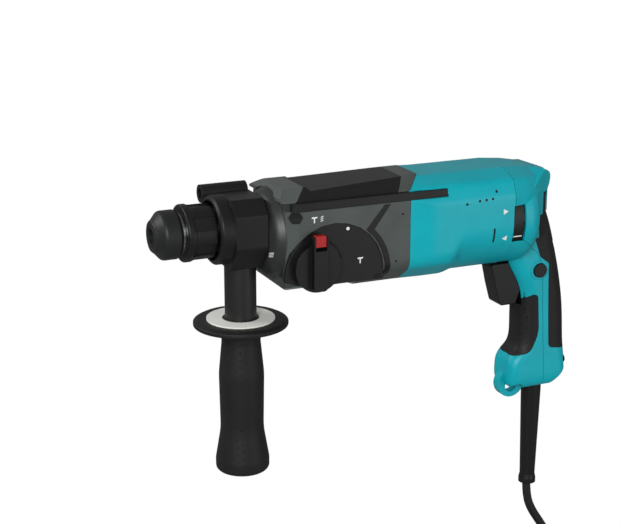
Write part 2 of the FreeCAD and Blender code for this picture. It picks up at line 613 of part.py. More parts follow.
def case_section(inset="0"):
    """Cross-section of the gear end: flat sides, crowned top and rounded belly."""
    half, top, low = f"case_half - ({inset})", f"case_top - ({inset})", f"band_low + ({inset})"
    right = [(f"{half} - 22", low, "12"), (half, f"{low} + 15", "13"), (half, "stripe_low", "3"),
             (f"{half} - 3.5", "stripe_high + 1", "5"), (f"{half} - 20", top, "11")]
    return right + [(f"-({u})", v, r) for u, v, r in reversed(right)]


def case_solid(name, inset="0"):
    """The gear end's outer form, or the same form set in by a wall."""
    front, top, low = f"case_x + ({inset})", f"case_top - ({inset})", f"case_low + ({inset})"
    section = prism(name + "_section", "section", case_section(inset), front, "flange_x2")
    side = [(front, f"{top} - 7", "6"), (f"{front} + 7", f"{top} - 1", "5"), ("cap_rear_x - 2", f"{top} - 1"),
            ("cap_rear_x", f"{top} - 3.5"), ("rib_top_x - 2", f"{top} - 0.5"), ("rib_top_x", top),
            ("flange_x2", top),
            ("flange_x2", f"band_low + ({inset})"), ("band_x + 2", f"band_low + ({inset})"),
            ("band_x - 8", low),
            (f"{front} + 6", low, "8"), (front, f"{low} + 8", "6")]
    plan = [(front, f"-case_half + 5 + ({inset})"), (f"{front} + 14", f"-case_half + ({inset})", "20"),
            ("flange_x2", f"-case_half + ({inset})"), ("flange_x2", f"case_half - ({inset})"),
            (f"{front} + 14", f"case_half - ({inset})", "20"), (front, f"case_half - 5 - ({inset})")]
    return share(name, section, prism(name + "_side", "side", side, "-case_half - 1", "case_half + 1"),
                 prism(name + "_plan", "plan", plan, "band_low - 1", "case_top + 1"))


def gear_rooms():
    """The space inside the gear housing for the barrel, the countershaft and the swash drive."""
    spindle = rod("spindle_room", "x", "spindle_room_r", ("case_x + 4", "plate_x"), ("0", "0"))
    counter = rod("counter_room", "x", "counter_room_r", ("counter_front_x + counter_front_t", "plate_x"),
                  ("0", "counter_z"))
    middle = block("middle_room", ("counter_front_x + counter_front_t", "plate_x"),
                   ("-counter_room_r", "counter_room_r"), ("counter_z", "0"))
    pocket = rod("counter_bearing_pocket", "x", "counter_front_r",
                 ("counter_front_x", "counter_front_x + counter_front_t"),
                 ("0", "counter_z"))
    bore = rod("barrel_bore", "x", "barrel_r + 1.5", ("barrel_x - 3", "case_x + 4"), ("0", "0"))
    seats = rod("collar_bore", "x", "front_bearing_r", ("collar_x + 1", "barrel_x - 3"), ("0", "0"))
    mouth = rod("collar_mouth", "x", "journal_r + 2", ("collar_x - 1", "collar_x + 1"), ("0", "0"))
    stem = rod("stem_room", "y", "stem_r + loose_gap", ("-case_half - 1", "-case_half + case_skin + 2.5"),
               ("knob_x", "knob_z"))
    return join("gear_rooms", spindle, counter, middle, pocket, bore, seats, mouth, stem)


def make_gear_housing():
    """The inner metal housing with its collar and dome, and the covers that clad it."""
    rooms = gear_rooms()
    inner = case_solid("case_inner", "case_skin")
    outer = case_solid("case_outer")
    collar = turned("collar", [("collar_x", "0"), ("collar_x", "collar_r", "1"), ("dome_x + 4", "collar_r"),
                               ("dome_x + 4", "0")])
    dome = share("dome_trimmed", prism("dome_section", "section", case_section("0.4"), "dome_x",
                                       "case_x + case_skin"),
                 turned("dome_round", [("dome_x", "0"), ("dome_x", "27", "3"), ("dome_x + 4", "33", "10"),
                                       ("case_x + case_skin", "36.5"), ("case_x + case_skin", "0")],
                                       "motor_z + 4"))
    keep_in = block("housing_reach", ("collar_x", "plate_x"), ("-case_half", "case_half"),
                    ("band_low", "case_top"))
    metal = share("housing_metal", join("housing_mass", collar, dome, inner), keep_in)
    belly = block("belly_zone", ("case_x + case_skin", "band_x"), ("-case_half", "case_half"),
                  ("band_low", "case_low + case_skin"))
    belly_skin = share("belly_skin", outer, belly)
    finish("gear_housing", cut("gear_housing", join("housing_with_belly", metal, belly_skin), rooms,
                               screw_rods("housing_screw_holes", "0")))
    make_covers(outer, inner)


def screw_rods(name, gap):
    """The four long screws that hold the motor housing and the gear housing together."""
    rods = []
    for row, (y, z) in enumerate((("-28", "14"), ("28", "14"), ("-26", "band_low + 15"),
                                  ("26", "band_low + 15"))):
        rods.append(rod(f"{name}_{row}", "x", f"screw_r + {gap}", ("plate_x - 22", "flange_x2 - 13"), (y, z)))
    return group(name, *rods)


def make_covers(outer, inner):
    """The skin over the metal: grey cover and band, grey front cap, black top, stripes, selector plate."""
    skin = cut("case_skin_shell", outer, case_solid("case_core", "case_skin - skin_gap"))
    wide = ("-case_half - 3", "case_half + 3")
    dome_face = rod("dome_clearance", "x", "36.5 + seam_gap", ("dome_x", "case_x + case_skin"),
                    ("0", "motor_z + 4"))
    sides = block("cover_sides", ("case_x + case_skin + seam_gap", "band_x + 1"), wide,
                  ("case_low + case_skin + seam_gap", "stripe_low - seam_gap"))
    band = block("cover_band", ("band_x", "case_end - seam_gap"), wide,
                 ("band_low - 1", "stripe_low - seam_gap"))
    crown = crown_zone("crown_band", ("rib_low_x", "rib_top_x"),
                       ("case_end - seam_gap", "seam_top_x - seam_gap"))
    groove = block("stripe_groove", ("band_x - 1", "case_end"), wide,
                   ("stripe_low - seam_gap", "stripe_high + seam_gap"))
    window = selector_outline("selector_window", "seam_gap", "-case_half - 2", "-case_half + case_skin + 1")
    zone = cut("cover_zone", join("cover_mass", sides, band, crown), groove, window)
    finish("housing_cover", share("housing_cover", skin, zone))
    cap_zone = crown_zone("cap_zone", ("case_x + 1", "case_x + 1"),
                          ("cap_low_x - seam_gap", "cap_rear_x - seam_gap"))
    finish("front_cap", cut("front_cap", share("front_cap_mass", skin, cap_zone), dome_face))
    top_zone = crown_zone("top_zone", ("cap_low_x", "cap_rear_x"),
                          ("rib_low_x - seam_gap", "rib_top_x - seam_gap"))
    finish("top_cover", share("top_cover", skin, top_zone))
    make_stripes(inner)
    plate = selector_outline("selector_plate_mass", "0", "-case_half + plate_sink",
                             "-case_half + case_skin - 0.05")
    hub = rod("plate_hole", "y", "stem_r + loose_gap", ("-case_half - 1", "-case_half + case_skin + 1"),
              ("knob_x", "knob_z"))
    finish("selector_plate", cut("selector_plate", plate, hub))


def crown_zone(name, front, rear):
    """Everything above the stripes between two slanted seams, each given at the stripe and on top."""
    low, top = "stripe_high + seam_gap", "case_top + 1"
    return prism(name, "side", [(front[0], low), (rear[0], low), (rear[1], top), (front[1], top)],
                 "-case_half - 3", "case_half + 3")


def selector_outline(name, grow, low, high):
    """The half-round plate that the mode knob turns on, with its stepped lower edge."""
    size, base = f"(plate_r + {grow})", f"(case_low + case_skin + seam_gap - {grow} + 1)"
    arc = [(f"plate_cx + {size} * {math.cos(math.radians(a)):.4f}",
            f"plate_cz + {size} * {math.sin(math.radians(a)):.4f}")
           for a in range(0, 181, 15)]
    points = [(f"plate_cx + {size}", base)] + arc + [(f"plate_cx - {size}", f"plate_cz - 0.5"),
              ("knob_x - 8", base)]
    return prism(name, "side", points, low, high)


def make_stripes(inner):
    """A long black trim on each side that runs from the front across the seam into the motor housing."""
    stripes = []
    for side, sign in (("near", -1), ("far", 1)):
        ends = sorted((f"{sign} * (case_half - case_skin + 0.1)", f"{sign} * (case_half + stripe_proud)"),
                      key=value)
        stripes.append(block(f"stripe_{side}", ("case_x + case_skin + 4", "stripe_end"), ends,
                             ("stripe_low", "stripe_high")))
    core = block("stripe_core", ("case_x", "flange_x2 + 10"),
                 ("-case_half + case_skin", "case_half - case_skin"), ("stripe_low - 1", "stripe_high + 1"))
    finish("side_stripes", cut("side_stripes", group("stripe_pair", *stripes), core))


def make_selector():
    """The mode knob with its pointer bar, and the red lock button that slides in the bar's end."""
    face, under = "-case_half", "-case_half + plate_sink - seam_gap"
    disc = rod("knob_disc", "y", "knob_r", (f"{face} - knob_disc_t", under), ("knob_x", "knob_z"))
    stem = rod("knob_stem", "y", "stem_r", (under, f"{face} + case_skin + 2"), ("knob_x", "knob_z"))
    tip = "knob_z + knob_reach"
    bar = [("knob_x - knob_bar / 2", "knob_z - knob_r + 2", "4"),
           ("knob_x + knob_bar / 2", "knob_z - knob_r + 2", "4"),
           ("knob_x + knob_bar / 2", tip, "2"), ("knob_x - knob_bar / 2", tip, "2")]
    grip = prism("knob_bar", "side", bar, f"{face} - knob_bar_high", f"{face} - 0.6")
    room = block("red_room", ("knob_x - knob_bar / 2 + 1.4", "knob_x + knob_bar / 2 - 1.4"),
                 (f"{face} - knob_bar_high - 1", f"{face} - 3"), (f"{tip} - red_len - red_travel",
                                                                  f"{tip} + 1"))
    finish("mode_knob", cut("mode_knob", join("knob_mass", disc, stem, grip), room))
    red = [("knob_x - knob_bar / 2 + 1.6", f"{tip} - red_len"), ("knob_x + knob_bar / 2 - 1.6",
                                                                 f"{tip} - red_len"),
           ("knob_x + knob_bar / 2 - 1.6", f"{tip} + 0.8", "1.5"), ("knob_x - knob_bar / 2 + 1.6",
                                                                    f"{tip} + 0.8", "1.5")]
    finish("knob_lock_button", prism("knob_lock_button", "side", red, f"{face} - knob_bar_high + 0.8",
                                     f"{face} - 3.2"))


# ---------------------------------------------------------------- motor housing and handle

# z, then front and rear from grip_x, half width and corner radius of the handle's cross sections
HANDLE_ROWS = [(12, -34, 0, 17.5, 8), (4, -34, 0.5, 17.5, 8), (-16, -34, 8.5, 17.5, 10),
               (-42, -31, 17.5, 17.5, 13),
               (-62, -24, 23, 17.3, 14), (-90, -14.5, 28.5, 16.8, 14), (-118, -14, 31, 16.8, 14),
               (-130, -15.5, 31.3, 17, 13), (-138, -21, 31.3, 17.3, 11), (-146, -24, 31.2, 17.5, 9),
               (-160, -24, 31, 17.5, 8), (-166, -21, 28, 14.5, 6)]


def handle_form(name, back="0", front="0", sides="0"):
    """The handle, lofted through rounded rectangles; the last three shrink its faces."""
    holder = body(name)
    sketches = []
    for row, (z, low, high, half, corner) in enumerate(HANDLE_ROWS):
        sketch = sketch_on(holder, f"{name}_row_{row}", "plan", ("0", "0", z))
        near, far, wide = f"grip_x + ({low}) + {front}", f"grip_x + {high} - {back}", f"{half} - {sides}"
        bend = f"{corner} - {sides}"
        outline(sketch, [(near, f"-({wide})", bend), (far, f"-({wide})", bend), (far, wide, bend),
                         (near, wide, bend)])
        sketches.append(sketch)
    loft = holder.newObject("PartDesign::AdditiveLoft", name + "_loft")
    loft.Profile, loft.Sections = sketches[0], sketches[1:]
    return holder


def outer_form():
    """Motor drum, front flange, tapered tail and handle as one form."""
    flange = share("flange_form", prism("flange_section", "section", case_section("0"), "case_end",
                                        "flange_x2 + 12"),
                   prism("flange_side", "side", [("case_end", "case_top"), ("flange_x2 + 12", "case_top - 3"),
                                                 ("flange_x2 + 12", "band_low + 8"),
                                                 ("flange_x2", "band_low"),
                                                 ("case_end", "band_low")], "-case_half", "case_half"))
    drum = turned("drum_form", [("case_end + 4", "0"), ("case_end + 4", "drum_r - 4"),
                                ("case_end + 18", "drum_r", "30"),
                                ("drum_end", "drum_r", "13"), ("drum_end", "0")], "motor_z")
    tail = share("tail_form",
                 prism("tail_side", "side", [("seam_x - 8", "-30"), ("seam_x - 8", "case_top - 1.5"),
                                             ("grip_x - 4", "27", "7"),
                                             ("grip_x + 8.5", "21", "6.6"), ("grip_x + 5.5", "12", "6.6"),
                                             ("grip_x", "4", "8"), ("grip_x + 2", "-30")], "-drum_r",
                                             "drum_r"),
                 prism("tail_plan", "plan", [("seam_x - 8", "-drum_r"), ("drum_end - 10", "-drum_r + 6",
                                                                         "30"),
                                             ("grip_x + 3", "-grip_half", "20"),
                                             ("grip_x + 12", "-grip_half + 6"),
                                             ("grip_x + 12", "grip_half - 6"),
                                             ("grip_x + 3", "grip_half", "20"),
                                             ("drum_end - 10", "drum_r - 6", "30"),
                                             ("seam_x - 8", "drum_r")], "-60", "40"),
                 rod("tail_round", "x", "drum_r", ("seam_x - 8", "grip_x + 20"), ("0", "motor_z")))
    handle = handle_form("handle_form")
    heel = prism("handle_heel", "side", [("grip_x + 31.5", "-152"), ("grip_x + 40", "-152"),
                                         ("grip_x + 40", "-170"),
                                         ("grip_x + 15", "-170"), ("grip_x + 15", "-167")], "-20", "20")
    return join("outer_form", flange, drum, tail, cut("handle_trimmed", handle, heel))


def hanging_loop():
    outer = rod("loop_outer", "y", "loop_r", ("-loop_half", "loop_half"), ("loop_cx", "loop_cz"))
    return outer


def loop_hole():
    return rod("loop_hole", "y", "loop_hole_r", ("-grip_half - 1", "grip_half + 1"),
               ("loop_cx", "loop_cz - 2.6"))


def rear_zone(name, gap):
    """Everything behind the seam between the motor housing and the handle cover."""
    seam = [(f"seam_x + {gap}", "60"), (f"seam_x + {gap}", "0"), (f"slot_rear - 2 + {gap}", "slot_low + 2"),
            (f"grip_x - 18 + {gap}", "-37", "8"), (f"grip_x - 3 + {gap}", "-46", "10"),
            (f"grip_x + 2 + {gap}", "-62", "20"),
            (f"grip_x + 7.5 + {gap}", "-154"), (f"grip_x + 7.5 + {gap}", "-200"), ("grip_x + 60", "-200"),
            ("grip_x + 60", "60")]
    return prism(name, "side", seam, "-drum_r - 10", "drum_r + 10")


def motor_rooms():
    """Space inside the motor housing for the motor, and inside the handle for switch, trigger and cord."""
    drum = rod("motor_room", "x", "drum_r - drum_wall", ("flange_x2 - 12", "drum_inner_end"),
               ("0", "motor_z"))
    front = rod("inner_housing_room", "x", "spigot_r", ("case_end - 1", "flange_x2 - 12"), ("0", "motor_z"))
    wheel = rod("brush_ring_room", "x", "drum_r - ring_skin", ("slot_front - 0.4", "slot_rear + 0.4"),
                ("0", "motor_z"))
    seat = rod("rear_bearing_room", "x", "motor_rear_r", ("drum_inner_end - 1", "shaft_end + 0.4"),
               ("0", "motor_z"))
    slots = block("reversing_slots", ("slot_front", "slot_rear"), ("-drum_r - 2", "drum_r + 2"),
                  ("slot_low", "slot_high"))
    trigger = block("trigger_room", ("grip_x - 36", "grip_x - 6"),
                    ("-trigger_half - 0.4", "trigger_half + 0.4"), ("-93", "-50"))
    switch = block("switch_room", ("grip_x - 12", "grip_x + 12"), ("-12.5", "12.5"), ("-100", "-50"))
    wire = block("wire_room", ("grip_x - 2", "grip_x + 17"), ("-9", "9"), ("-150", "-100"))
    link = block("wire_link", ("grip_x - 14", "grip_x + 4"), ("-9", "9"), ("-52", "-20"))
    stripes = block("stripe_slots", ("case_end - 1", "stripe_end + seam_gap"), ("-drum_r - 3", "drum_r + 3"),
                    ("stripe_low - seam_gap", "stripe_high + seam_gap"))
    stripe_keep = block("stripe_keep", ("case_end - 2", "stripe_end + 2"),
                        ("-case_half + case_skin", "case_half - case_skin"),
                        ("stripe_low - 2", "stripe_high + 2"))
    button = rod("button_hole", "y", "button_r + 0.3", ("-grip_half - 3", "-7"), ("button_x", "button_z"))
    guard = rod("guard_hole", "z", "guard_top_r + 0.1", ("-175", "guard_top"), ("guard_x", "0"))
    return [drum, front, wheel, seat, slots, trigger, switch, wire, link,
            cut("stripe_cuts", stripes, stripe_keep),
            button, guard, loop_hole()]


def rubber_zone(name, which):
    """The outline, seen from the side, of each rubber area on the handle."""
    if which == "rear":
        points = [("grip_x - 14", "7", "3"), ("grip_x - 11", "-12"), ("grip_x - 8", "-30"),
                  ("grip_x - 1", "-50", "6"),
                  ("grip_x + 8", "-56.5", "4"), ("grip_x + 8.5", "-72"), ("grip_x + 11.5", "-132", "4"),
                  ("grip_x + 60", "-140"), ("grip_x + 60", "7")]
    else:
        points = [("grip_x - 60", "-89.5"), ("grip_x - 20", "-90.5", "3"), ("grip_x - 1", "-80.5", "4"),
                  ("grip_x + 1.5", "-118", "30"), ("grip_x - 6", "-134", "10"), ("grip_x - 29", "-139.5"),
                  ("grip_x - 60", "-139.5")]
    return prism(name, "side", points, "-drum_r - 10", "drum_r + 10")


def make_motor_housing():
    """Split the outer form along the seam, hollow both halves and let the two rubber grips in."""
    boss = rod("button_boss", "y", "boss_r", ("-grip_half - 0.6", "-grip_half + 4"), ("button_x", "button_z"))
    form = join("form_with_loop", outer_form(), hanging_loop(), boss)
    rooms = motor_rooms()
    front_form = cut("front_form", form, rear_zone("rear_zone", "0"))
    rear_form = share("rear_form", form, rear_zone("rear_zone_cover", "seam_gap"))
    front_area, rear_area = rubber_zone("front_area", "front"), rubber_zone("rear_area", "rear")
    front_core = handle_form("front_core", front="rubber_t", sides="rubber_t")
    rear_core = handle_form("rear_core", back="rubber_t", sides="rubber_t")
    front_skin = cut("front_skin", share("front_skin_mass", front_form, front_area), front_core)
    rear_skin = cut("rear_skin", share("rear_skin_mass", rear_form, rear_area), rear_core)
    crown = cut("crown_room", crown_zone("crown_room_zone", ("case_end - 1", "case_end - 1"),
                                         ("case_end", "seam_top_x")),
                DOC.getObject("case_inner"))
    finish("motor_housing", carve("motor_housing", front_form, front_skin, *rooms, crown,
                                  screw_rods("motor_screw_holes", "0"),
                                  handle_screws("front_screw_holes")))
    finish("handle_cover", carve("handle_cover", rear_form, rear_skin, *rooms,
                                 handle_screws("rear_screw_holes")))
    finish("front_grip_rubber", carve("front_grip_rubber", front_skin, *rooms))
    finish("rear_grip_rubber", carve("rear_grip_rubber", rear_skin, *rooms,
                                     handle_screws("rubber_screw_holes"),
                                     button_clearance()))


def button_clearance():
    """Room in the rubber for the ring that stands round the lock button."""
    return rod("boss_room", "y", "boss_r + seam_gap", ("-grip_half - 3", "-grip_half + 4"),
               ("button_x", "button_z"))


def handle_screws(name):
    """Four screws from the rear that pull the handle cover on to the motor housing."""
    screws = []
    for row, (y, z, start, head) in enumerate((("-11.5", "-146", "grip_x - 5", "grip_x + 27"),
                                               ("11.5", "-146", "grip_x - 5", "grip_x + 27"),
                                               ("-11.5", "-42", "grip_x - 27", "grip_x + 10"),
                                               ("11.5", "-42", "grip_x - 27", "grip_x + 10"))):
        if "holes" in name:
            shank = rod(f"{name}_{row}", "x", "screw_r", (start, head), (y, z))
            head_room = rod(f"{name}_{row}_sink", "x", "screw_head_r", (head, "grip_x + 40"), (y, z))
            screws.append(join(f"{name}_{row}_bore", shank, head_room))
        else:
            profile = [(start, "0"), (start, "screw_r - 0.6"), (f"{start} + 1.2", "screw_r"),
                       (head, "screw_r"),
                       (head, "screw_head_r"), (f"{head} + screw_head", "screw_head_r"),
                       (f"{head} + screw_head", "1.4"),
                       (f"{head} + 1", "1.4"), (f"{head} + 1", "0")]
            screw = turned(f"{name}_{row}", profile, z)
            bind(screw, "Placement.Base.y", y)
            screws.append(screw)
    return group(name, *screws)


def make_inner_housing():
    """The wall between gears and motor: it holds three bearings and plugs into the motor housing."""
    plate = share("inner_plate", DOC.getObject("case_inner"), block("inner_plate_zone", ("plate_x + 0.1",
                                                                                         "case_end - 0.2"),
                  ("-case_half", "case_half"), ("band_low", "case_top")))
    spigot = rod("inner_spigot", "x", "spigot_r - run_gap", ("case_end - 3", "flange_x2 - 12.2"),
                 ("0", "motor_z"))
    rear_seat = rod("counter_rear_seat", "x", "counter_rear_r", ("plate_x", "plate_end"), ("0", "counter_z"))
    wheel_room = rod("wheel_room", "x", "motor_module * 14.6", ("plate_end", "wheel_x + wheel_t + 1"),
                     ("0", "counter_z"))
    pinion_room = rod("pinion_room", "x", "motor_module * 5", ("plate_end - 1", "motor_front_x"),
                      ("0", "motor_z"))
    bearing_seat = rod("motor_front_seat", "x", "motor_front_r",
                       ("motor_front_x", "motor_front_x + motor_front_t"), ("0", "motor_z"))
    shaft_hole = rod("motor_shaft_hole", "x", "shaft_r + 1.5", ("motor_front_x", "flange_x2"),
                     ("0", "motor_z"))
    piston_room = rod("piston_room", "x", "cylinder_r + 1", ("plate_x - 1", "plate_x + 4"), ("0", "0"))
    finish("inner_housing", cut("inner_housing", join("inner_mass", plate, spigot), rear_seat, wheel_room,
                                pinion_room,
                                bearing_seat, shaft_hole, piston_room, screw_rods("inner_screw_holes", "0")))
    finish("baffle_plate", ring("baffle_plate", ("baffle_x", "baffle_x + baffle_t"), "stator_r",
                                "shaft_r + 8", "motor_z"))
    finish("gear_housing_screws", screw_rods("gear_housing_screws", "0"))


def make_controls():
    """Trigger, lock button, switch and cord clamp."""
    trigger = [("grip_x - 43", "-54.5", "3"), ("grip_x - 38.5", "-74", "40"), ("grip_x - 33.5", "-91.5", "4"),
               ("grip_x - 18", "-91.5", "3"), ("grip_x - 14", "-80"), ("grip_x - 14", "-54.5", "1")]
    finish("trigger", round_ends(prism("trigger", "side", trigger, "-trigger_half", "trigger_half"), "0.9"))
    button = rod("lock_cap", "y", "button_r", ("-grip_half - 0.6 - button_proud", "-grip_half + 4"),
                 ("button_x", "button_z"))
    stem = rod("lock_stem", "y", "button_r - 3", ("-grip_half + 4", "-8"), ("button_x", "button_z"))
    finish("lock_button", join("lock_button", button, stem))
    case = block("switch_case", ("grip_x - 6", "grip_x + 11.5"), ("-12", "12"), ("-98", "-70"))
    ears = block("switch_ears", ("grip_x + 2", "grip_x + 8"), ("-12.5", "12.5"), ("-94", "-74"))
    finish("switch_body", join("switch_body", case, ears))
    bar = block("clamp_bar", ("grip_x + 1", "grip_x + 14"), ("-9", "9"), ("-140", "-134"))
    holes = [rod(f"clamp_bar_hole_{side}", "x", "screw_r - 0.4", ("grip_x", "grip_x + 15"), (y, "-137"))
             for side, y in (("near", "-6.5"), ("far", "6.5"))]
    finish("cord_clamp", cut("cord_clamp", bar, *holes))
    pins = [rod(f"clamp_screw_{side}", "x", "screw_r - 0.4", ("grip_x - 2", "grip_x + 15"), (y, "-137"))
            for side, y in (("near", "-6.5"), ("far", "6.5"))]
    finish("handle_screws", group("handle_screw_set", handle_screws("cover_screw"), *pins))


# ---------------------------------------------------------------- side handle

def upright(name, points):
    """A piece turned about the side handle's own axis; the points are (radius, z)."""
    holder = body(name)
    sketch = sketch_on(holder, name + "_profile", "side", ("column_x", "0", "0"))
    outline(sketch, points)
    spin = holder.newObject("PartDesign::Revolution", name + "_turned")
    spin.Profile = sketch
    spin.ReferenceAxis = (sketch, ["V_Axis"])
    spin.Angle = 360
    return holder


def make_side_handle():
    half, top = "clamp_half", "clamp_top"
    right = [("column_r + 0.8", "clamp_low"), (half, "-12", "6"), (half, f"{top} - 11", "3"),
             (f"{half} - 11", top, "3")]
    section = right + [(f"-({u})", v, *r) for u, v, *r in reversed(right)]
    mass = prism("clamp_mass", "section", section, "clamp_x", "clamp_end")
    rim = [("clamp_ring_x", "sleeve_r + 1.8"), ("clamp_x", "sleeve_r + 1.8"), ("clamp_x", "clamp_ring_r"),
           ("clamp_ring_x + 2", "clamp_ring_r", "1.5"), ("clamp_ring_x", "clamp_ring_r - 2", "1.5")]
    bore = rod("clamp_bore", "x", "collar_r + band_t + 0.1", ("clamp_ring_x - 1", "clamp_end + 1"),
               ("0", "0"))
    rod_room = rod("clamp_rod_room", "z", "tie_r + run_gap", ("-60", "-20"), ("column_x", "0"))
    gauge = rod("gauge_hole", "x", "gauge_r", ("clamp_ring_x - 1", "clamp_end + 1"), ("gauge_y", "gauge_z"))
    boss = rod("gauge_boss", "x", "gauge_r + 3", ("clamp_ring_x", "clamp_end"), ("gauge_y", "gauge_z"))
    finish("clamp_base", cut("clamp_base", join("clamp_form", mass, turned("clamp_rim", rim), boss), bore,
                             rod_room, gauge))
    band = ring("clamp_band_hoop", ("clamp_x + 3", "clamp_end - 3"), "collar_r + band_t", "collar_r + 0.08")
    finish("clamp_band", band)
    tie = [("0", "-collar_r - band_t - 0.2"), ("tie_r", "-collar_r - band_t - 0.2"), ("tie_r", "-165"),
           ("0", "-165")]
    finish("clamp_bolt", upright("clamp_bolt", tie))
    column = [("tie_r + run_gap", "clamp_low - 0.1"), ("column_r", "clamp_low - 0.1"),
              ("column_r", "guard_z + 1.5"),
              ("column_r + 1.4", "guard_z + 1.5"), ("column_r + 1.4", "guard_z + 0.2"),
              ("tie_r + run_gap", "guard_z + 0.2")]
    finish("grip_column", upright("grip_column", column))
    hand = [("tie_r + 0.08", "guard_z"), ("guard_r - 3", "guard_z"), ("guard_r", "guard_z - 1.5", "1.2"),
            ("guard_r", "guard_under + 0.5", "1"), ("guard_r - 6", "guard_under - 1"),
            ("hand_waist_r", "guard_under - 4", "5"),
            ("hand_waist_r", "guard_under - 14", "12"), ("hand_r", "guard_under - 40", "60"),
            ("hand_r - 0.8", "guard_under - 86", "60"),
            ("hand_flare_r", "hand_low + 10", "10"), ("hand_flare_r", "hand_low", "4"), ("9", "hand_low"),
            ("9", "hand_low + 2"), ("0", "hand_low + 2"), ("0", "-165.2"), ("tie_r + 0.08", "-165.2")]
    finish("side_grip", upright("side_grip", hand))
    white = [("column_r + 2", "guard_z + 0.05"), ("white_r", "guard_z + 0.05"),
             ("white_r", "guard_z + white_t"),
             ("column_r + 2", "guard_z + white_t")]
    finish("grip_ring", upright("grip_ring", white))


# ---------------------------------------------------------------- cord

CORD_ROUTE = [(341, -262), (341.8, -277), (347.5, -291), (356, -303.5), (364.5, -317), (370, -332),
              (372, -348)]
BEND_SHARE = 0.45


def cord_path(points):
    """Straight runs joined by the largest arcs that the runs allow, as one wire."""
    places = [VECTOR(x, 0, z) for x, z in points]
    edges, start, radii = [], places[0], []
    for before, here, after in zip(places, places[1:], places[2:]):
        inward, outward = (here - before).normalize(), (after - here).normalize()
        reach = BEND_SHARE * min((here - before).Length, (after - here).Length)
        turn = inward.getAngle(outward)
        radii.append(round(reach / math.tan(turn / 2), 1))
        first, last = here - inward * reach, here + outward * reach
        middle = here + (outward - inward).normalize() * (radii[-1] * (1 / math.cos(turn / 2) - 1))
        edges += [Part.LineSegment(start, first).toShape(), Part.Arc(first, middle, last).toShape()]
        start = last
    edges.append(Part.LineSegment(start, places[-1]).toShape())
    print("cord radii", radii)
    return Part.Wire(edges)


def make_cord():
    """Strain relief, hanging cord, the tied coil of the rest of it, and the plug."""
    sweep = DOC.addObject("Part::Feature", "power_cord")
    path = cord_path(CORD_ROUTE)
    radius = value("cord_r")
    start, run = path.Vertexes[0].Point, path.Edges[0].tangentAt(0)
    disc = Part.Face(Part.Wire(Part.makeCircle(radius, start, run)))
    tube = path.makePipe(disc)
    sweep.Shape = tube
    print("cord volume ratio", round(tube.Volume / (math.pi * radius ** 2 * path.Length), 4))
    finish("power_cord", sweep)
    finish("cord_guard", make_guard())
    torus = DOC.addObject("Part::Torus", "coil_ring")
    torus.Placement = FreeCAD.Placement(VECTOR(), TURNS["y"])
    bind(torus, "Radius1", "coil_r")
    bind(torus, "Radius2", "coil_thick / 2")
    bundle = share("coil_bundle", torus, block("coil_box", ("coil_x - 80", "coil_x + 80"), ("-40", "40"),
                                               ("coil_z - 80", "coil_z + 80")))
    place(torus, x="coil_x", z="coil_z")
    finish("cord_coil", bundle)
    tie = ring("cord_tie", ("coil_x - 4", "coil_x + 4"), "coil_thick / 2 + 1.6", "coil_thick / 2 + 0.3",
               "coil_z + coil_r")
    finish("cord_tie", tie)
    tail = rod("tail_run", "z", "cord_r", ("plug_top", "coil_z - 35"), ("coil_x + coil_r", "0"))
    finish("cord_tail", group("cord_tail", tail))
    make_plug()


def make_guard():
    """Ribbed, tapered strain relief with a small lip, running down from the handle."""
    holder = body("cord_guard")
    sketch = sketch_on(holder, "guard_profile", "side", ("guard_x", "0", "0"))
    low = "guard_low"
    points = [("0", "guard_top"), ("guard_top_r", "guard_top"), ("guard_top_r", "-175"),
              ("guard_low_r", f"{low} + 8"),
              ("guard_low_r + 0.9", f"{low} + 4", "1"), ("guard_low_r + 0.9", low), ("0", low)]
    outline(sketch, points)
    spin = holder.newObject("PartDesign::Revolution", "guard_turned")
    spin.Profile = sketch
    spin.ReferenceAxis = (sketch, ["V_Axis"])
    spin.Angle = 360
    return holder


def make_plug():
    """A round two-pin mains plug hanging from the coil."""
    holder = body("plug_body")
    sketch = sketch_on(holder, "plug_profile", "side", ("coil_x + coil_r", "0", "0"))
    outline(sketch, [("0", "plug_top"), ("cord_r + 1", "plug_top"), ("cord_r + 2.5", "plug_top - 16"),
                     ("plug_r - 3", "plug_top - 24", "5"),
                     ("plug_r", "plug_top - 32", "3"), ("plug_r", "plug_top - plug_len"),
                     ("0", "plug_top - plug_len")])
    spin = holder.newObject("PartDesign::Revolution", "plug_turned")
    spin.Profile = sketch
    spin.ReferenceAxis = (sketch, ["V_Axis"])
    spin.Angle = 360
    pins = [rod(f"plug_pin_{side}", "z", "2.4", ("plug_top - plug_len - 19", "plug_top - plug_len + 1"),
                (f"coil_x + coil_r + {x}", "0"))
            for side, x in (("front", "-9.5"), ("rear", "9.5"))]
    finish("plug", join("plug", holder, *pins))


# ---------------------------------------------------------------- build and write

def write_parts():
    """Check every object, then write each node's solids to its own STEP file."""
    DOC.recompute()
    for thing in DOC.Objects:
        if "Invalid" in thing.State or "Error" in thing.State:
            raise RuntimeError(f"{thing.Label} failed: {thing.State}")
    for node in NODES:
        if node.Shape.isNull() or not node.Shape.isValid() or not node.Shape.Solids:
            raise RuntimeError(f"{node.Label} has no valid solid")
    os.makedirs("parts", exist_ok=True)
    for node in NODES:
        node.Shape.exportStep(f"parts/{node.Label}.step")


def main():
    fill_sheet()
    make_chuck()
    make_tool_holder()
    make_hammer()
    make_swash()
    make_countershaft()
    make_motor()
    make_gear_housing()
    make_inner_housing()
    make_selector()
    make_motor_housing()
    make_controls()
    make_side_handle()
    make_cord()
    write_parts()


main()
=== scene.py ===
"""Dresses a rotary hammer: mouldings, rubber, chuck, mode selector, side handle and mains cord."""

import math

import bmesh
import bpy
from mathutils import Matrix, Vector
from mathutils.bvhtree import BVHTree


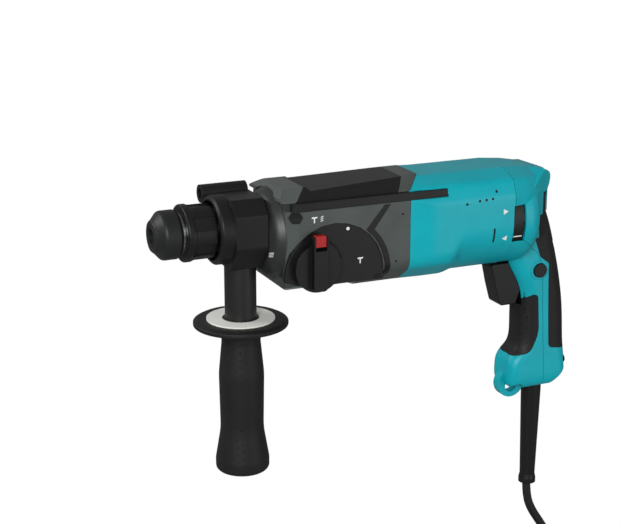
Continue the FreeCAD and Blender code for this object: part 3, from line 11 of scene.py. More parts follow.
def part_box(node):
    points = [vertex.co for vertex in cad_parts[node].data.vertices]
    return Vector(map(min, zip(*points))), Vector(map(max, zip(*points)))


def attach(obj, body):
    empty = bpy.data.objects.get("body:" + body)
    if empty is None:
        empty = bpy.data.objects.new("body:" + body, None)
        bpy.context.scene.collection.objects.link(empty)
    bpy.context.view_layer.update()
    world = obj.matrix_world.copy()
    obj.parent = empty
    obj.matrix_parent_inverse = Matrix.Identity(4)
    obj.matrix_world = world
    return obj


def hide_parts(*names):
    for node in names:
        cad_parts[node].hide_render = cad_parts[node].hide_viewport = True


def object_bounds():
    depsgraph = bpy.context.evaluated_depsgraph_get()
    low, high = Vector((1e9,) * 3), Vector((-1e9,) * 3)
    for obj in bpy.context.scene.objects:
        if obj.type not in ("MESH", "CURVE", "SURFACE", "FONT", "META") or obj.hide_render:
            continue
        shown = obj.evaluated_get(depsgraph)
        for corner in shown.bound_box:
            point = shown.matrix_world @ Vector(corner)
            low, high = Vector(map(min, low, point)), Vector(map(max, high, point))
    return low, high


bl_info = {
    "name": "Rotary hammer",
    "version": (1, 0, 0),
    "blender": (4, 5, 0),
    "location": "3D View > Sidebar > Hammer",
    "description": "Finishes a rotary hammer's mouldings and adds its fine detail, marks and cord",
    "category": "Object",
}

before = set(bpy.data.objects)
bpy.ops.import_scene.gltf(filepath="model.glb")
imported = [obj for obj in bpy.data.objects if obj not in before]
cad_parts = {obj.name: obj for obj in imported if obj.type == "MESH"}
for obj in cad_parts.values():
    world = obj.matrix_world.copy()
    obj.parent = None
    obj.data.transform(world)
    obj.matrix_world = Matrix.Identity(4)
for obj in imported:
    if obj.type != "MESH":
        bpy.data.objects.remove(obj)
CAD_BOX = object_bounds()
MM = 0.001


# --- shared helpers ------------------------------------------------------------------------


def linear(code):
    """An sRGB hex colour as linear RGBA."""
    parts = [int(code[place : place + 2], 16) / 255 for place in (1, 3, 5)]
    return (*[c / 12.92 if c <= 0.04045 else ((c + 0.055) / 1.055) ** 2.4 for c in parts], 1.0)


def node(tree, kind, links=None, **settings):
    """Adds a shader node. links gives each input a value or another node's output."""
    made = tree.nodes.new("ShaderNode" + kind)
    for name, setting in settings.items():
        setattr(made, name, setting)
    for socket, source in (links or {}).items():
        if isinstance(source, bpy.types.NodeSocket):
            tree.links.new(source, made.inputs[socket])
        else:
            made.inputs[socket].default_value = source
    return made


def material(name, **shader):
    """A material with one Principled shader, and its node tree and shader."""
    made = bpy.data.materials.new(name)
    made.use_nodes = True
    tree = made.node_tree
    surface = tree.nodes["Principled BSDF"]
    for socket, setting in shader.items():
        surface.inputs[socket.replace("_", " ")].default_value = setting
    return made, tree, surface


def middle(node_name):
    """The middle of a node's box, in metres."""
    low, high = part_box(node_name)
    return (low + high) / 2


def paint(finish, *names):
    """Gives a finish to each named CAD node."""
    for name in names:
        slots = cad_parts[name].material_slots
        for held in slots:
            held.material = finish
        if not slots:
            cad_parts[name].data.materials.append(finish)


# --- finishes ------------------------------------------------------------------------------

# Width of the soft highlight on moulded edges, in metres.
EDGE_RADIUS = 0.0007
# Moulded plastics are set below their usual 1.5, matched to the dull sheen that their texture leaves.
DULL_IOR = 1.37
PAINT_IOR = 1.5
# Sockets of a Mix node that mixes colours.
MIX_FACTOR, MIX_FIRST, MIX_SECOND, MIX_RESULT = 0, 6, 7, 2
# How far below the gear housing's middle its bare metal starts, in metres.
BARE_DROP = 0.033


def moulding(name, colour, rough, grain, depth, shade=0.12):
    """A moulded plastic: its grain is the spark-eroded texture of the tool, grain and depth in mm."""
    made, tree, surface = material(name, IOR=DULL_IOR)
    place = node(tree, "TexCoord")
    fine = node(
        tree,
        "TexNoise",
        {"Vector": place.outputs["Object"], "Scale": 1 / (grain * MM), "Detail": 2.0},
    )
    broad = node(
        tree, "TexNoise", {"Vector": place.outputs["Object"], "Scale": 1 / (24 * MM), "Detail": 3.0}
    )
    base = Vector(linear(colour)[:3])
    tone = node(tree, "ValToRGB", {"Fac": broad.outputs["Fac"]})
    tone.color_ramp.elements[0].position = 0.3
    tone.color_ramp.elements[1].position = 0.7
    tone.color_ramp.elements[0].color = (*(base * (1 - shade)), 1)
    tone.color_ramp.elements[1].color = (*(base * (1 + shade)), 1)
    sheen = node(
        tree,
        "MapRange",
        {"Value": fine.outputs["Fac"], "To Min": rough - 0.06, "To Max": rough + 0.06},
    )
    soft = node(tree, "Bevel", {"Radius": EDGE_RADIUS}, samples=4)
    relief = node(
        tree,
        "Bump",
        {
            "Height": fine.outputs["Fac"],
            "Strength": 0.5,
            "Distance": depth * MM,
            "Normal": soft.outputs["Normal"],
        },
    )
    tree.links.new(tone.outputs["Color"], surface.inputs["Base Color"])
    tree.links.new(sheen.outputs["Result"], surface.inputs["Roughness"])
    tree.links.new(relief.outputs["Normal"], surface.inputs["Normal"])
    return made


def metal(name, colour, rough, grain, stretch=(1, 1, 1)):
    """A bare or plated metal: grain is its turning or casting marks in mm, longer where stretch is small."""
    made, tree, surface = material(name, Metallic=1.0)
    place = node(tree, "TexCoord")
    turned = node(tree, "Mapping", {"Vector": place.outputs["Object"], "Scale": stretch})
    marks = node(
        tree,
        "TexNoise",
        {"Vector": turned.outputs["Vector"], "Scale": 1 / (grain * MM), "Detail": 3.0},
    )
    base = Vector(linear(colour)[:3])
    tone = node(tree, "ValToRGB", {"Fac": marks.outputs["Fac"]})
    tone.color_ramp.elements[0].color = (*(base * 0.8), 1)
    tone.color_ramp.elements[1].color = (*base, 1)
    sheen = node(
        tree,
        "MapRange",
        {"Value": marks.outputs["Fac"], "To Min": rough - 0.08, "To Max": rough + 0.1},
    )
    relief = node(
        tree, "Bump", {"Height": marks.outputs["Fac"], "Strength": 0.3, "Distance": 0.02 * MM}
    )
    tree.links.new(tone.outputs["Color"], surface.inputs["Base Color"])
    tree.links.new(sheen.outputs["Result"], surface.inputs["Roughness"])
    tree.links.new(relief.outputs["Normal"], surface.inputs["Normal"])
    return made


def painted_casting(name, paint_colour, bare_colour):
    """A casting that is painted, but bare below the covers."""
    made, tree, surface = material(name, IOR=PAINT_IOR)
    place = node(tree, "TexCoord")
    grain = node(
        tree, "TexNoise", {"Vector": place.outputs["Object"], "Scale": 1 / (1.4 * MM), "Detail": 3.0}
    )
    along = node(tree, "SeparateXYZ", {"Vector": place.outputs["Object"]})
    under = node(
        tree, "Math", {0: along.outputs["Z"], 1: middle("gear_housing").z - BARE_DROP}, operation="LESS_THAN"
    )
    behind = node(
        tree, "Math", {0: along.outputs["X"], 1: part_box("housing_cover")[0].x}, operation="GREATER_THAN"
    )
    bare = node(
        tree, "Math", {0: under.outputs["Value"], 1: behind.outputs["Value"]}, operation="MULTIPLY"
    )
    tone = node(
        tree,
        "Mix",
        {
            MIX_FACTOR: bare.outputs["Value"],
            MIX_FIRST: linear(paint_colour),
            MIX_SECOND: linear(bare_colour),
        },
        data_type="RGBA",
    )
    relief = node(
        tree, "Bump", {"Height": grain.outputs["Fac"], "Strength": 0.4, "Distance": 0.05 * MM}
    )
    tree.links.new(tone.outputs[MIX_RESULT], surface.inputs["Base Color"])
    tree.links.new(bare.outputs["Value"], surface.inputs["Metallic"])
    tree.links.new(relief.outputs["Normal"], surface.inputs["Normal"])
    surface.inputs["Roughness"].default_value = 0.42
    return made


FINISHES = {}


def make_finishes(sizes):
    """Every finish of the tool, by a short name."""
    # Moulded plastics: an even, spark-eroded sheen that softens every highlight. The rubbers are duller.
    # Cast and plated metals: a mottled grey sheen. Turned ones have fine lines along their length.
    FINISHES.update(
        teal=moulding("ABS_moulded_teal", sizes.teal, 0.38, 0.9, 0.04, 0.05),
        black=moulding("Glass_filled_nylon_black", "#101110", 0.42, 0.8, 0.05),
        grey=moulding("Glass_filled_nylon_grey", "#474d4b", 0.42, 0.8, 0.05),
        light_grey=moulding("Glass_filled_nylon_pale_grey", "#4e5352", 0.42, 0.8, 0.05),
        rubber=moulding("TPE_overmoulded_black", "#141514", 0.55, 0.5, 0.05),
        chuck=moulding("Nitrile_rubber_black", "#1c1d1d", 0.45, 0.6, 0.04),
        red=moulding("Acetal_moulded_red", "#a81e22", 0.35, 0.7, 0.03),
        white=moulding("Pad_print_white", "#e9e9e4", 0.5, 0.5, 0.01, 0.02),
        cast=metal("Aluminium_die_cast", "#9aa09f", 0.5, 1.2),
        housing=painted_casting("Aluminium_cast_painted", "#232625", "#a9b3b5"),
        bearing=metal("Bearing_steel_ground", "#c3c6c8", 0.25, 0.6),
        hard=metal("Steel_case_hardened", "#77797a", 0.34, 0.7),
        bright=metal("Steel_turned", "#b9bbbc", 0.3, 0.5, (0.2, 1, 1)),
        zinc=metal("Steel_zinc_plated", "#bfc2bd", 0.32, 0.9),
        oxide=metal("Steel_black_oxide", "#1c1c1d", 0.5, 0.6),
        lamination=metal("Silicon_steel_laminated", "#5c5f61", 0.45, 0.5, (4, 0.1, 0.1)),
        copper=metal("Copper_enamelled", "#a85a2e", 0.32, 0.6),
        carbon=moulding("Carbon_graphite_pressed", "#202124", 0.55, 0.4, 0.02),
        sheath=moulding("PVC_extruded_black", "#1c1d1c", 0.48, 0.7, 0.02),
        # Painted shade: a near-black finish for flat sheets laid over holes, grooves and vents, standing in
        # for the shade inside them.
        pit=moulding("Recess_shadowed_black", "#080908", 0.6, 0.7, 0.02),
        column=moulding("Nylon_moulded_black_satin", "#1d1e1d", 0.42, 0.7, 0.04),
    )


NODE_FINISHES = {
    "teal": ["motor_housing", "handle_cover"],
    "black": [
        "top_cover", "side_stripes", "selector_plate", "baffle_plate", "inner_housing",
        "switch_body", "cord_clamp", "cord_guard", "cord_tie", "plug", "mode_knob", "reversing_ring",
        "clamp_base", "trigger", "lock_button", "chuck_sleeve", "fan",
    ],
    "column": ["grip_column"],
    "grey": ["housing_cover"],
    "light_grey": ["front_cap"],
    "housing": ["gear_housing"],
    "rubber": ["front_grip_rubber", "rear_grip_rubber", "side_grip", "oil_seal"],
    "chuck": ["chuck_cap"],
    "red": ["knob_lock_button"],
    "white": ["grip_ring"],
    "bearing": ["holder_bearings", "counter_bearings", "armature_bearings", "locking_balls", "chuck_rings"],
    "hard": ["tool_holder", "spindle_gear", "impact_bolt", "striker", "countershaft", "reduction_gear"],
    "bright": ["piston_pin", "armature_shaft", "chuck_spring"],
    "cast": ["piston", "swash_ring", "swash_hub"],
    "zinc": ["gear_housing_screws", "clamp_band", "clamp_bolt"],
    "oxide": ["handle_screws"],
    "lamination": ["field_stator", "armature_core"],
    "copper": ["field_coils", "commutator", "brush_holders"],
    "carbon": ["carbon_brushes"],
    "sheath": ["power_cord", "cord_coil", "cord_tail"],
}


# --- cord ----------------------------------------------------------------------------------

# The points that the cord passes by, from its guard down to the coil, in the plane of the handle.
CORD_ROUTE = [
    (0.006, -0.152),
    (0.0068, -0.167),
    (0.0125, -0.181),
    (0.021, -0.1935),
    (0.0295, -0.207),
    (0.035, -0.222),
    (0.037, -0.238),
]
CORD_DIAMETER = 0.0075
COIL_TURNS = 9
POINTS_A_TURN = 16
# Where each turn lies in the coil's section: steps of a diameter outwards, then along the coil's axis.
COIL_LAYERS = [(1, -1), (1, 0), (1, 1), (0, 1), (0, 0), (0, -1), (-1, -1), (-1, 0), (-1, 1)]


def coil_points():
    """Turns that go down at the coil's rear side, each easing into the next beside or on it."""
    centre = middle("cord_coil")
    low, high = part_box("cord_coil")
    radius = (high.x - low.x) / 2 - (high.y - low.y) / 2
    points = []
    for step in range(COIL_TURNS * POINTS_A_TURN):
        turn, share = divmod(step / POINTS_A_TURN, 1)
        here, there = COIL_LAYERS[int(turn)], COIL_LAYERS[min(int(turn) + 1, COIL_TURNS - 1)]
        ease = min(1, max(0, share * 4 - 3))
        out, along = [a + (b - a) * ease for a, b in zip(here, there)]
        angle = -2 * math.pi * share
        reach = radius + out * CORD_DIAMETER * 0.97
        points.append(
            (
                centre.x + reach * math.cos(angle),
                along * CORD_DIAMETER,
                centre.z + reach * math.sin(angle),
            )
        )
    return points


def make_cord():
    """The mains cord: one line from its guard, through the coil, to the plug."""
    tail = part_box("cord_tail")
    line = [(x, 0.0, z) for x, z in CORD_ROUTE] + coil_points()
    line.append((middle("cord_tail").x, 0.0, tail[1].z))
    line.append((middle("cord_tail").x, 0.0, tail[0].z))
    curve = bpy.data.curves.new("mains_cord", "CURVE")
    curve.dimensions = "3D"
    spline = curve.splines.new("NURBS")
    spline.points.add(len(line) - 1)
    for point, place in zip(spline.points, line):
        point.co = (*place, 1)
    spline.order_u = 3
    spline.use_endpoint_u = True
    spline.resolution_u = 4
    curve.bevel_depth = CORD_DIAMETER / 2
    curve.bevel_resolution = 3
    curve.use_fill_caps = True
    cord = bpy.data.objects.new("mains_cord", curve)
    bpy.context.collection.objects.link(cord)
    cord.data.materials.append(FINISHES["sheath"])
    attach(cord, "housing")
    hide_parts("power_cord", "cord_coil", "cord_tail")


# --- motor shell ---------------------------------------------------------------------------

# Corners of the shell's right half in mm, from the belly up: (y, z, radius).
FLANGE_SECTION = [(16, 56.9, 12), (38.1, 72, 13), (38.1, 127, 3), (34.6, 134, 5), (18, 142.4, 11)]
WIDE_SECTION = [(17.4, 56.9, 12), (42.15, 74, 16), (42.15, 122, 14), (37, 135, 9), (19, 141.4, 14)]
DRUM_SECTION = [(17.4, 56.9, 41.5), (42.15, 81.6, 41.5), (42.15, 122, 14), (37, 135, 9), (19, 141.4, 14)]
# The rear part's sections from the drum's middle up, at their x in mm.
TAIL_SECTIONS = [
    (-41.7, [(42.15, 99, 0), (42.15, 122, 14), (37, 135, 9), (19, 141.4, 14)]),
    (-24, [(37.6, 99, 0), (37.6, 121, 13), (33, 133.5, 9), (17, 140.2, 12)]),
    (-6, [(24.5, 99, 0), (24.5, 120, 10), (21.5, 131.5, 7), (11, 137.8, 8)]),
    (6, [(13, 99, 0), (13, 119, 6), (11, 128, 5), (6, 133.5, 5)]),
]
FLANGE_X, WIDE_X, STEP_X, DRUM_X, SEAM_X = -135, -113, -100, -86, -42
SLOT_X, SLOT_Z = (-43.2, -31.3), (82.8, 113.7)
STRIPE_END, STRIPE_Z = -102.7, (126.7, 133.3)
BAND_SLOPE = 17 / 10.2
FILLET_POINTS = 7
BLEND_ROWS = 6
SHELL_WALL = 0.7
SEAM_GAP = 0.3
SIDE_Y = 30
SHARP_ANGLE = math.radians(35)
MERGE_SPAN = 1e-6


def rounded(corners):
    """Points of a path through corners (y, z, radius), with each corner rounded."""
    points = []
    for place, (y, z, radius) in enumerate(corners):
        here = Vector((y, z))
        if not radius:
            points += [here] * FILLET_POINTS
            continue
        before = Vector(corners[place - 1][:2]) if place else Vector((-y, z))
        after = Vector(corners[place + 1][:2]) if place + 1 < len(corners) else Vector((-y, z))
        inward, outward = (here - before).normalized(), (after - here).normalized()
        turn = inward.angle_signed(outward)
        reach = radius * abs(math.tan(turn / 2))
        start, stop = here - inward * reach, here + outward * reach
        for step in range(FILLET_POINTS):
            share = step / (FILLET_POINTS - 1)
            first, last = start.lerp(here, share), here.lerp(stop, share)
            points.append(first.lerp(last, share))
    return points


def mixed(first, last, share):
    """Corners part of the way from one section to another."""
    return [tuple(a + (b - a) * share for a, b in zip(*pair)) for pair in zip(first, last)]


def skin(rows, closed):
    """A bmesh through rows of (x, corners), each mirrored across the middle plane."""
    shape = bmesh.new()
    loops = []
    for x, corners in rows:
        half = rounded(corners)
        whole = half + [Vector((-p.x, p.y)) for p in reversed(half)]
        loops.append([shape.verts.new((x * MM, p.x * MM, p.y * MM)) for p in whole])
    count = len(loops[0])
    for near, far in zip(loops, loops[1:]):
        for step in range(count if closed else count - 1):
            after = (step + 1) % count
            shape.faces.new((near[step], near[after], far[after], far[step]))
    bmesh.ops.remove_doubles(shape, verts=shape.verts, dist=MERGE_SPAN)
    return shape


def slice_at(shape, place, direction):
    """Cuts the faces of a shape along a plane, in mm, and keeps both sides."""
    geometry = shape.verts[:] + shape.edges[:] + shape.faces[:]
    spot = Vector(place) * MM
    bmesh.ops.bisect_plane(shape, geom=geometry, plane_co=spot, plane_no=direction)


def clear(shape, inside):
    """Deletes the faces whose middle, in mm, lies inside."""
    gone = [face for face in shape.faces if inside(face.calc_center_median() / MM)]
    bmesh.ops.delete(shape, geom=gone, context="FACES")


def make_shell():
    """The motor housing's moulded skin, from the gear end's seam to the tail."""
    rows = []
    for start, end, first, last in (
        (FLANGE_X, WIDE_X, FLANGE_SECTION, WIDE_SECTION),
        (STEP_X, DRUM_X, WIDE_SECTION, DRUM_SECTION),
    ):
        for step in range(BLEND_ROWS):
            share = step / (BLEND_ROWS - 1)
            x = start + (end - start) * share
            rows.append((x, mixed(first, last, share * share * (3 - 2 * share))))
    rows.append((SEAM_X - SEAM_GAP, DRUM_SECTION))
    front = skin(rows, True)
    for z in (*STRIPE_Z, *SLOT_Z):
        slice_at(front, (0, 0, z), (0, 0, 1))
    for x in (STRIPE_END, SLOT_X[0]):
        slice_at(front, (x, 0, 0), (1, 0, 0))
    band_x = FLANGE_X + SEAM_GAP
    slice_at(front, (band_x, 0, STRIPE_Z[1]), (1, 0, -BAND_SLOPE))
    clear(front, lambda p: p.x < STRIPE_END and STRIPE_Z[0] < p.z < STRIPE_Z[1] and abs(p.y) > SIDE_Y)
    clear(front, lambda p: p.z > STRIPE_Z[1] and p.x < band_x + BAND_SLOPE * (p.z - STRIPE_Z[1]))
    rear = skin(TAIL_SECTIONS, False)
    slice_at(rear, (0, 0, SLOT_Z[1]), (0, 0, 1))
    slice_at(rear, (SLOT_X[1], 0, 0), (1, 0, 0))
    for name, shape in (("motor_shell", front), ("tail_shell", rear)):
        clear(shape, lambda p: SLOT_X[0] < p.x < SLOT_X[1] and SLOT_Z[0] < p.z < SLOT_Z[1])
        bmesh.ops.recalc_face_normals(shape, faces=shape.faces)
        bmesh.ops.solidify(shape, geom=shape.faces[:], thickness=SHELL_WALL * MM)
        piece = link(name, shape, "teal", "housing")
        for face in piece.data.polygons:
            face.use_smooth = True
        piece.data.set_sharp_from_angle(angle=SHARP_ANGLE)


# --- marks and relief ----------------------------------------------------------------------

# Height of the bands in which a mark bends over its surface, in metres.
SLICE = 0.0015
# How far prints, the painted-shade sheets of pits, grooves and vents, and raised edges stand off their
# surface, in metres.
PRINT, PAINTED_SHADE_LIFT, RIDGE, RIM = 0.00012, 0.00008, 0.0009, 0.0012


def near_side(*names):
    """The knob side's surface of some pieces: a function from (x, z) to y, in metres."""
    trees = []
    for name in names:
        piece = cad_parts.get(name) or bpy.data.objects[name]
        corners = [piece.matrix_world @ v.co for v in piece.data.vertices]
        trees.append(BVHTree.FromPolygons(corners, [tuple(p.vertices) for p in piece.data.polygons]))

    def surface(x, z):
        """The outermost y at x and z, or 0 past the pieces."""
        hits = [tree.ray_cast(Vector((x, -0.2, z)), Vector((0, 1, 0)))[0] for tree in trees]
        return min((hit.y for hit in hits if hit), default=0.0)

    return surface


def link(name, shape, finish, rides):
    """Turns a bmesh into a piece that rides a body."""
    bmesh.ops.recalc_face_normals(shape, faces=shape.faces)
    mesh = bpy.data.meshes.new(name)
    shape.to_mesh(mesh)
    shape.free()
    mesh.materials.append(FINISHES[finish])
    piece = bpy.data.objects.new(name, mesh)
    bpy.context.collection.objects.link(piece)
    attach(piece, rides)
    return piece


def lay(shape, points, surface, proud, deep=0.0004):
    """Adds a flat outline of (x, z) points in millimetres, draped on a surface."""
    part = bmesh.new()
    face = part.faces.new([part.verts.new((x * MM, 0, z * MM)) for x, z in points])
    zs = [v.co.z for v in face.verts]
    level = min(zs) + SLICE
    while level < max(zs):
        geometry = part.verts[:] + part.edges[:] + part.faces[:]
        bmesh.ops.bisect_plane(part, geom=geometry, plane_co=(0, 0, level), plane_no=(0, 0, 1))
        level += SLICE
    front = part.faces[:]
    made = bmesh.ops.extrude_face_region(part, geom=front)["geom"]
    back = {v for v in made if isinstance(v, bmesh.types.BMVert)}
    for vert in part.verts:
        lift = deep if vert in back else -proud
        vert.co.y = surface(vert.co.x, vert.co.z) + lift
    mesh = bpy.data.meshes.new("laid")
    part.to_mesh(mesh)
    part.free()
    shape.from_mesh(mesh)
    bpy.data.meshes.remove(mesh)


def moved(points, x, z, size=1.0):
    """Points scaled by size and shifted to x and z."""
    return [(x + u * size, z + v * size) for u, v in points]


def arc(x, z, radius, start, stop, steps=24):
    """Points of an arc in degrees."""
    turns = [math.radians(start + (stop - start) * step / steps) for step in range(steps + 1)]
    return [(x + radius * math.cos(turn), z + radius * math.sin(turn)) for turn in turns]


HAMMER_MARK = (
    [(-2.6, 1.2), (2.2, 1.2), (3.2, 2.6), (-2.6, 2.6)],
    [(-0.6, -3), (0.6, -3), (0.6, 1.1), (-0.6, 1.1)],
)
DRILL_MARK = (
    [(-1.3, 1.2), (1.3, 2.2), (1.3, 3.1), (-1.3, 2.1)],
    [(-1.3, -0.6), (1.3, 0.4), (1.3, 1.3), (-1.3, 0.3)],
    [(-1.3, -2.4), (1.3, -1.4), (1.3, -0.5), (-1.3, -1.5)],
)
TRIANGLE = [(-2, -2.3), (2.6, 0), (-2, 2.3)]


def make_marks():
    """Printed symbols for the modes and the turning directions."""
    cover = near_side("housing_cover", "selector_plate", "gear_housing")
    shape = bmesh.new()
    for mark, x, z in (
        (HAMMER_MARK, -217.3, 119.6),
        (DRILL_MARK, -211, 119.6),
        (DRILL_MARK, -248.5, 92.6),
        (HAMMER_MARK, -178, 83.2),
    ):
        for part in mark:
            lay(shape, moved(part, x, z, 0.85), cover, PRINT)
    lay(shape, arc(-188.7, 109.6, 1.4, 0, 345, 23), cover, PRINT)
    drum = near_side("motor_housing", "motor_shell")
    lay(shape, moved(TRIANGLE, -51.3, 109.9), drum, PRINT)
    lay(shape, moved([(-u, v) for u, v in TRIANGLE], -50.8, 87.4), drum, PRINT)
    link("printed_marks", shape, "white", "housing")
    shape = bmesh.new()
    wheel = near_side("reversing_ring")
    lay(shape, [(-41.5, 86.6), (-33.5, 86.6), (-33.5, 87.7), (-41.5, 87.7)], wheel, PRINT, 0.0002)
    link("reverser_line", shape, "white", "reverser")


def make_relief():
    """The ridge round the mode plate, coloured black as painted shade along its edge; painted shade for its
    groove, small holes, a raised boss and the motor's vents, as near-black sheets on the surface.
    """
    cover = near_side("housing_cover", "selector_plate", "gear_housing")
    shape = bmesh.new()
    # The ridge is real relief, but its black colour is painted shade for the shadowed edge round the grey
    # plate.
    outer = arc(-200, 73, 47.5, -12, 46) + [(-153.3, 125.5), (-157.5, 125.5)]
    lay(shape, outer + arc(-200, 73, 43.2, 52, -12), cover, RIDGE)
    link("cover_ridge_painted_shade", shape, "black", "housing")
    shape = bmesh.new()
    # Painted shade: near-black sheets over the groove round the knob and over small holes and a recess; the
    # raised hexagonal boss is coloured as shade too.
    lay(shape, arc(-215.5, 82, 22.6, 12, 76) + arc(-215.5, 82, 21.2, 76, 12), cover, PAINTED_SHADE_LIFT)
    lay(shape, arc(-215.5, 82, 22.6, 104, 172) + arc(-215.5, 82, 21.2, 172, 104), cover, PAINTED_SHADE_LIFT)
    for x, z, radius in ((-142.1, 116.5, 0.9), (-147.3, 79.1, 0.9), (-162.9, 67.9, 3.0)):
        lay(shape, arc(x, z, radius, 0, 345, 23), cover, PAINTED_SHADE_LIFT)
    lay(shape, arc(-232.5, 122.6, 5.2, 0, 300, 5), cover, RIM)
    link("cover_pits", shape, "pit", "housing")
    shape = bmesh.new()
    drum = near_side("motor_housing", "motor_shell")
    # Painted shade: near-black discs and a slot laid on the drum stand in for the shade inside the vents.
    for x, z in ((-87, 119.5), (-75.5, 121), (-69.5, 121.3), (-63.6, 121.6), (-59.5, 127)):
        lay(shape, arc(x, z, 1.1, 0, 345, 15), drum, PAINTED_SHADE_LIFT)
    lay(shape, [(-61.8, 85), (-60.2, 85), (-60.2, 97), (-61.8, 97)], drum, PAINTED_SHADE_LIFT)
    link("housing_vents_painted_shade", shape, "pit", "housing")


# Middle (x, y) and radius of the grip's rounded front corner, and the trigger room's side, in mm.
GRIP_CORNER = (-0.4, -2.8, 13.6)
ROOM_SIDE = 9.6
STUD_RADIUS = 0.0007


def make_grip_fill():
    """The grip's wall beside the switch: rubber up to the trigger, the housing's colour above."""
    for name, finish, slot, low, high in (
        ("grip_wall_rubber", "rubber", "black_rubber", 8.5, 24.6),
        ("grip_wall_upper", "teal", "teal_housing", 24.8, 29),
    ):
        shape = bmesh.new()
        for side in (-1, 1):
            turns = [(x, -side * y) for x, y in arc(*GRIP_CORNER, 212, 255, 10)]
            inner = [(-3.5, side * ROOM_SIDE), (-11.8, side * ROOM_SIDE)]
            outline = [(x, side * abs(y)) for x, y in turns] + inner
            face = shape.faces.new([shape.verts.new((x * MM, y * MM, low * MM)) for x, y in outline])
            made = bmesh.ops.extrude_face_region(shape, geom=[face])["geom"]
            for vert in made:
                if isinstance(vert, bmesh.types.BMVert):
                    vert.co.z = high * MM
        link(name, shape, finish, "housing")


def make_studs():
    """Small domes moulded in the rubber of both grips."""
    shape = bmesh.new()
    front = near_side("front_grip_rubber")
    for row in range(7):
        for column in range(2):
            x, z = -13.5 + column * 4.5, 9 - row * 4.6 - column * 2.3
            place = Matrix.Translation((x * MM, front(x * MM, z * MM), z * MM))
            bmesh.ops.create_icosphere(shape, subdivisions=2, radius=STUD_RADIUS, matrix=place)
    link("front_studs", shape, "rubber", "housing")
    shape = bmesh.new()
    grip = near_side("side_grip")
    low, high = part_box("side_grip")
    for row in range(17):
        for column in range(3):
            x = (low.x + high.x) / 2 - 0.0145 + column * 0.004
            z = high.z - 0.018 - row * 0.0058 - (column % 2) * 0.0029
            place = Matrix.Translation((x, grip(x, z), z))
            bmesh.ops.create_icosphere(shape, subdivisions=2, radius=STUD_RADIUS, matrix=place)
    link("grip_studs", shape, "rubber", "side_grip")


# --- stage ---------------------------------------------------------------------------------

CAMERA_PLACE = (-0.6636, -1.0363, 0.4042)
CAMERA_YAW = math.radians(23.93)
CAMERA_DROP = math.radians(16.2)
CAMERA_LENS = 86.446
FLOOR_SPAN = 12.0
FLOOR_GAP = 0.004
# Share of the white surround that lights the pieces; the camera sees all of it.
SKY_SHARE = 0.3


def area_light(name, place, aim, size, power):
    """A soft rectangular light at place, turned to aim."""
    data = bpy.data.lights.new(name, "AREA")
    data.shape = "RECTANGLE"
    data.size, data.size_y = size
    data.energy = power
    light = bpy.data.objects.new(name, data)
    light.location = place
    light.rotation_euler = (Vector(aim) - Vector(place)).to_track_quat("-Z", "Y").to_euler()
    bpy.context.collection.objects.link(light)


def make_stage():
    """A pale floor, soft light and the camera."""
    floor_shape = bmesh.new()
    bmesh.ops.create_grid(
        floor_shape,
        x_segments=1,
        y_segments=1,
        size=FLOOR_SPAN,
        matrix=Matrix.Translation((0, 0, CAD_BOX[0].z - FLOOR_GAP)),
    )
    mesh = bpy.data.meshes.new("floor")
    floor_shape.to_mesh(mesh)
    floor_shape.free()
    floor = bpy.data.objects.new("floor", mesh)
    bpy.context.collection.objects.link(floor)
    pale, tree, surface = material("Matt_paper_white", Base_Color=linear("#9c9c9c"), Roughness=0.9)
    seen = node(tree, "LightPath")
    glow = node(tree, "Emission", {"Color": linear("#ffffff"), "Strength": 1.0})
    mixed = node(tree, "MixShader", {0: seen.outputs["Is Camera Ray"]})
    tree.links.new(surface.outputs["BSDF"], mixed.inputs[1])
    tree.links.new(glow.outputs["Emission"], mixed.inputs[2])
    tree.links.new(mixed.outputs["Shader"], tree.nodes["Material Output"].inputs["Surface"])
    mesh.materials.append(pale)

    sky = bpy.data.worlds.new("studio")
    sky.use_nodes = True
    background = sky.node_tree.nodes["Background"]
    background.inputs["Color"].default_value = linear("#ffffff")
    direct = node(sky.node_tree, "LightPath")
    strength = node(
        sky.node_tree,
        "MapRange",
        {"Value": direct.outputs["Is Camera Ray"], "To Min": SKY_SHARE, "To Max": 1.0},
    )
    sky.node_tree.links.new(strength.outputs["Result"], background.inputs["Strength"])
    bpy.context.scene.world = sky
    aim = (-0.1, 0, 0.05)
    area_light("key_light", (-1.1, -1.3, 0.7), aim, (0.8, 0.7), 22)
    area_light("rim_light", (-1.2, 0.5, 0.7), aim, (0.6, 0.4), 6)
    area_light("fill_light", (0.7, -1.3, 0.1), aim, (0.7, 0.9), 5)
    bpy.context.scene.view_settings.view_transform = "Standard"

    lens = bpy.data.cameras.new("camera")
    lens.sensor_width = 36
    lens.lens = CAMERA_LENS
    lens.clip_start, lens.clip_end = 0.05, 50
    camera = bpy.data.objects.new("camera", lens)
    camera.location = CAMERA_PLACE
    camera.rotation_euler = (math.pi / 2 - CAMERA_DROP, 0, -CAMERA_YAW)
    bpy.context.collection.objects.link(camera)
    bpy.context.scene.camera = camera


# --- add-on --------------------------------------------------------------------------------


class HammerColours(bpy.types.PropertyGroup):
    """What a user may recolour."""

    teal: bpy.props.StringProperty(
        name="Housing colour", description="sRGB hex of the moulded housing", default="#00a3b0"
    )


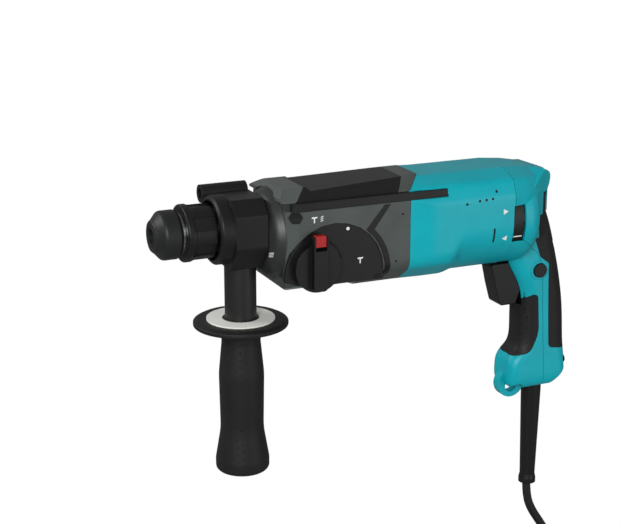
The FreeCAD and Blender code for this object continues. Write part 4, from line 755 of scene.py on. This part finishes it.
class HAMMER_OT_finishes(bpy.types.Operator):
    """Finishes every CAD piece"""

    bl_idname = "hammer.finishes"
    bl_label = "Finishes"

    def execute(self, context):
        make_finishes(context.scene.hammer_colours)
        for finish, names in NODE_FINISHES.items():
            paint(FINISHES[finish], *names)
        return {"FINISHED"}


class HAMMER_OT_cord(bpy.types.Operator):
    """Lays the mains cord and its coil"""

    bl_idname = "hammer.cord"
    bl_label = "Mains cord"

    def execute(self, context):
        make_cord()
        return {"FINISHED"}


class HAMMER_OT_detail(bpy.types.Operator):
    """Adds the motor's shell, the marks, the relief, the grip's walls and the studs"""

    bl_idname = "hammer.detail"
    bl_label = "Fine detail"

    def execute(self, context):
        make_shell()
        make_marks()
        make_relief()
        make_grip_fill()
        make_studs()
        return {"FINISHED"}


class HAMMER_OT_stage(bpy.types.Operator):
    """Adds the floor, the lights and the camera"""

    bl_idname = "hammer.stage"
    bl_label = "Stage"

    def execute(self, context):
        make_stage()
        return {"FINISHED"}


OPERATORS = (HAMMER_OT_finishes, HAMMER_OT_cord, HAMMER_OT_detail, HAMMER_OT_stage)


class HAMMER_PT_pieces(bpy.types.Panel):
    """Lists the steps that dress the hammer"""

    bl_idname = "HAMMER_PT_pieces"
    bl_label = "Rotary hammer"
    bl_space_type = "VIEW_3D"
    bl_region_type = "UI"
    bl_category = "Hammer"

    def draw(self, context):
        self.layout.prop(context.scene.hammer_colours, "teal")
        for step in OPERATORS:
            self.layout.operator(step.bl_idname)


CLASSES = (HammerColours, *OPERATORS, HAMMER_PT_pieces)


def register():
    """Adds the classes and the scene's settings."""
    for made in CLASSES:
        bpy.utils.register_class(made)
    bpy.types.Scene.hammer_colours = bpy.props.PointerProperty(type=HammerColours)


def unregister():
    """Takes them away again."""
    del bpy.types.Scene.hammer_colours
    for made in reversed(CLASSES):
        bpy.utils.unregister_class(made)


def main():
    """Dresses the hammer."""
    register()
    for step in OPERATORS:
        group, name = step.bl_idname.split(".")
        getattr(getattr(bpy.ops, group), name)()


if __name__ == "__main__":
    main()
